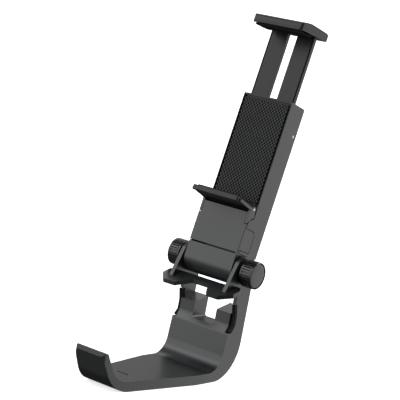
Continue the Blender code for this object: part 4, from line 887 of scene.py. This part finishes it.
lip = ease(slab(rounded([(-lip_half, -0.0163, 0.0012), (lip_half, -0.0163, 0.0012),
                         (lip_half, lip_back), (-lip_half, lip_back)]),
                -0.0021, 0.0005, fold_place), 0.0004, 4)
fit(merge(jaw, lip), "folding_jaw_plate", "lower_jaw", dark_abs, "dark_abs", "lower_jaw")
fit(merge(*cheeks), "folding_jaw_cheeks", "lower_jaw", satin_abs, "dark_abs", "lower_jaw")

pad_front, pad_depth, pad_base = -0.0143, 0.0095, 0.00035
jaw_pad = rounded(oblong(-0.0122, 0.0122, pad_front, pad_front + pad_depth, 0.0005))
fit(ease(slab(jaw_pad, pad_base - 0.0003, pad_base + 0.0011, fold_place), 0.0003),
    "folding_jaw_pad", "lower_jaw", black_silicone, "rubber", "lower_jaw_pad")


# Upper jaw: one dark ABS moulding of a beak-shaped bar on two flat rails, with a fine groove
# down each rail, joined at the bottom by a crossbar that stays inside the channel. A ribbed
# rubber strip glued under the bar grips the phone.

slide_place = housing_place @ Matrix.Translation((0, 0, housing_length + 0.0324))
slide_side = slide_place @ side_view
slide_front = slide_place @ front_view
jaw_front, jaw_back, jaw_half = -0.0138, 0.0127, 0.0144
beak = rounded([(jaw_front, 0, 0.0005), (jaw_front, 0.0020, 0.0008),
                (jaw_front + 0.0003, 0.0044, 0.0016), (jaw_front + 0.0034, 0.0054, 0.005),
                (jaw_front + 0.0080, 0.0063, 0.012), (jaw_back - 0.0030, 0.0068, 0.006),
                (jaw_back, 0.0062, 0.0018), (jaw_back, 0.0029, 0.0004),
                (jaw_front + 0.0024, 0.0010, 0.005)])
bar = slab(beak, -jaw_half, jaw_half, slide_side)
bar_plan = rounded([(-jaw_half, jaw_front, 0.0018), (jaw_half, jaw_front, 0.0018),
                    (jaw_half, jaw_back, 0.001), (-jaw_half, jaw_back, 0.001)])
combine(bar, "INTERSECT", slab(bar_plan, -0.002, 0.0129, slide_place))
ease(bar, 0.0006, 4)
rail_half, rail_length, rail_top, rail_front, rail_back = 0.0127, 0.0625, 0.0035, 0.0032, 0.0056
slot_half, slot_floor = 0.0027, -0.0515
rails = slab(rounded([(-rail_half, -rail_length, 0.001), (rail_half, -rail_length, 0.001),
                      (rail_half, rail_top), (slot_half, rail_top),
                      (slot_half, slot_floor, 0.001), (-slot_half, slot_floor, 0.001),
                      (-slot_half, rail_top), (-rail_half, rail_top)]),
             rail_front, rail_back, slide_front)
for groove in (-0.0122, 0.0122):
    line = oblong(groove - 0.00025, groove + 0.00025, slot_floor, rail_top + 0.001)
    combine(rails, "DIFFERENCE", slab(line, 0.002, 0.0043, slide_front))
ease(rails, 0.0002)
crossbar = slab(oblong(-0.0045, 0.0045, -0.0615, -0.0525), 0.0042, 0.0104, slide_front)
ease(crossbar, 0.0002)
fit(merge(bar, rails, crossbar), "sliding_jaw_and_rails", "slider", dark_abs, "dark_abs",
    "upper_jaw")


def row_tree():
    """Geometry nodes that lay a row of equal ribs along a line."""
    tree, given = open_tree("ribs_in_a_row", ("Rib", "Object"), ("Count", "Int"),
                            ("Step", "Vector"), ("Finish", "Material"))
    line = add_node(tree, "GeometryNodeMeshLine", {"Count": given["Count"],
                                                   "Offset": given["Step"]})
    rib = add_node(tree, "GeometryNodeObjectInfo", {"Object": given["Rib"]})
    row = add_node(tree, "GeometryNodeInstanceOnPoints", {"Points": line.outputs[0],
                                                          "Instance": rib.outputs["Geometry"]})
    return close_tree(tree, row.outputs[0], given["Finish"])


slope = 0.0019 / 0.0241
strip_half, strip_front, strip_length, tooth_count = 0.0129, -0.0122, 0.0113, 9
strip_back = strip_front + strip_length
strip_base = 0.00055 + (strip_front + 0.0114) * slope


def under(y, depth):
    """The height of the bar's underside, less a depth."""
    return strip_base + (y - strip_front) * slope - depth


strip = ease(slab([(strip_front, under(strip_front, 0)), (strip_front, under(strip_front, 0.0006)),
                   (strip_back, under(strip_back, 0.0006)), (strip_back, under(strip_back, 0))],
                  -strip_half, strip_half, slide_side), 0.00015)
pitch = strip_length / tooth_count
root, tip = under(strip_front, 0.0003), under(strip_front, 0.001)
tooth_front, tooth_back = strip_front + 0.1 * pitch, strip_front + 0.6 * pitch
tooth = ease(slab([(tooth_front, root), (tooth_front, tip), (tooth_back, tip),
                   (tooth_back, root)], -strip_half, strip_half, side_view), 0.00015)
teeth = grow(row_tree(), {"Rib": tooth, "Count": tooth_count,
                          "Step": (0, pitch, pitch * slope), "Finish": black_silicone})
teeth.data.transform(slide_place)
bpy.data.objects.remove(tooth)
fit(merge(strip, teeth), "sliding_jaw_rubber", "slider", black_silicone, "rubber",
    "upper_jaw_pad")
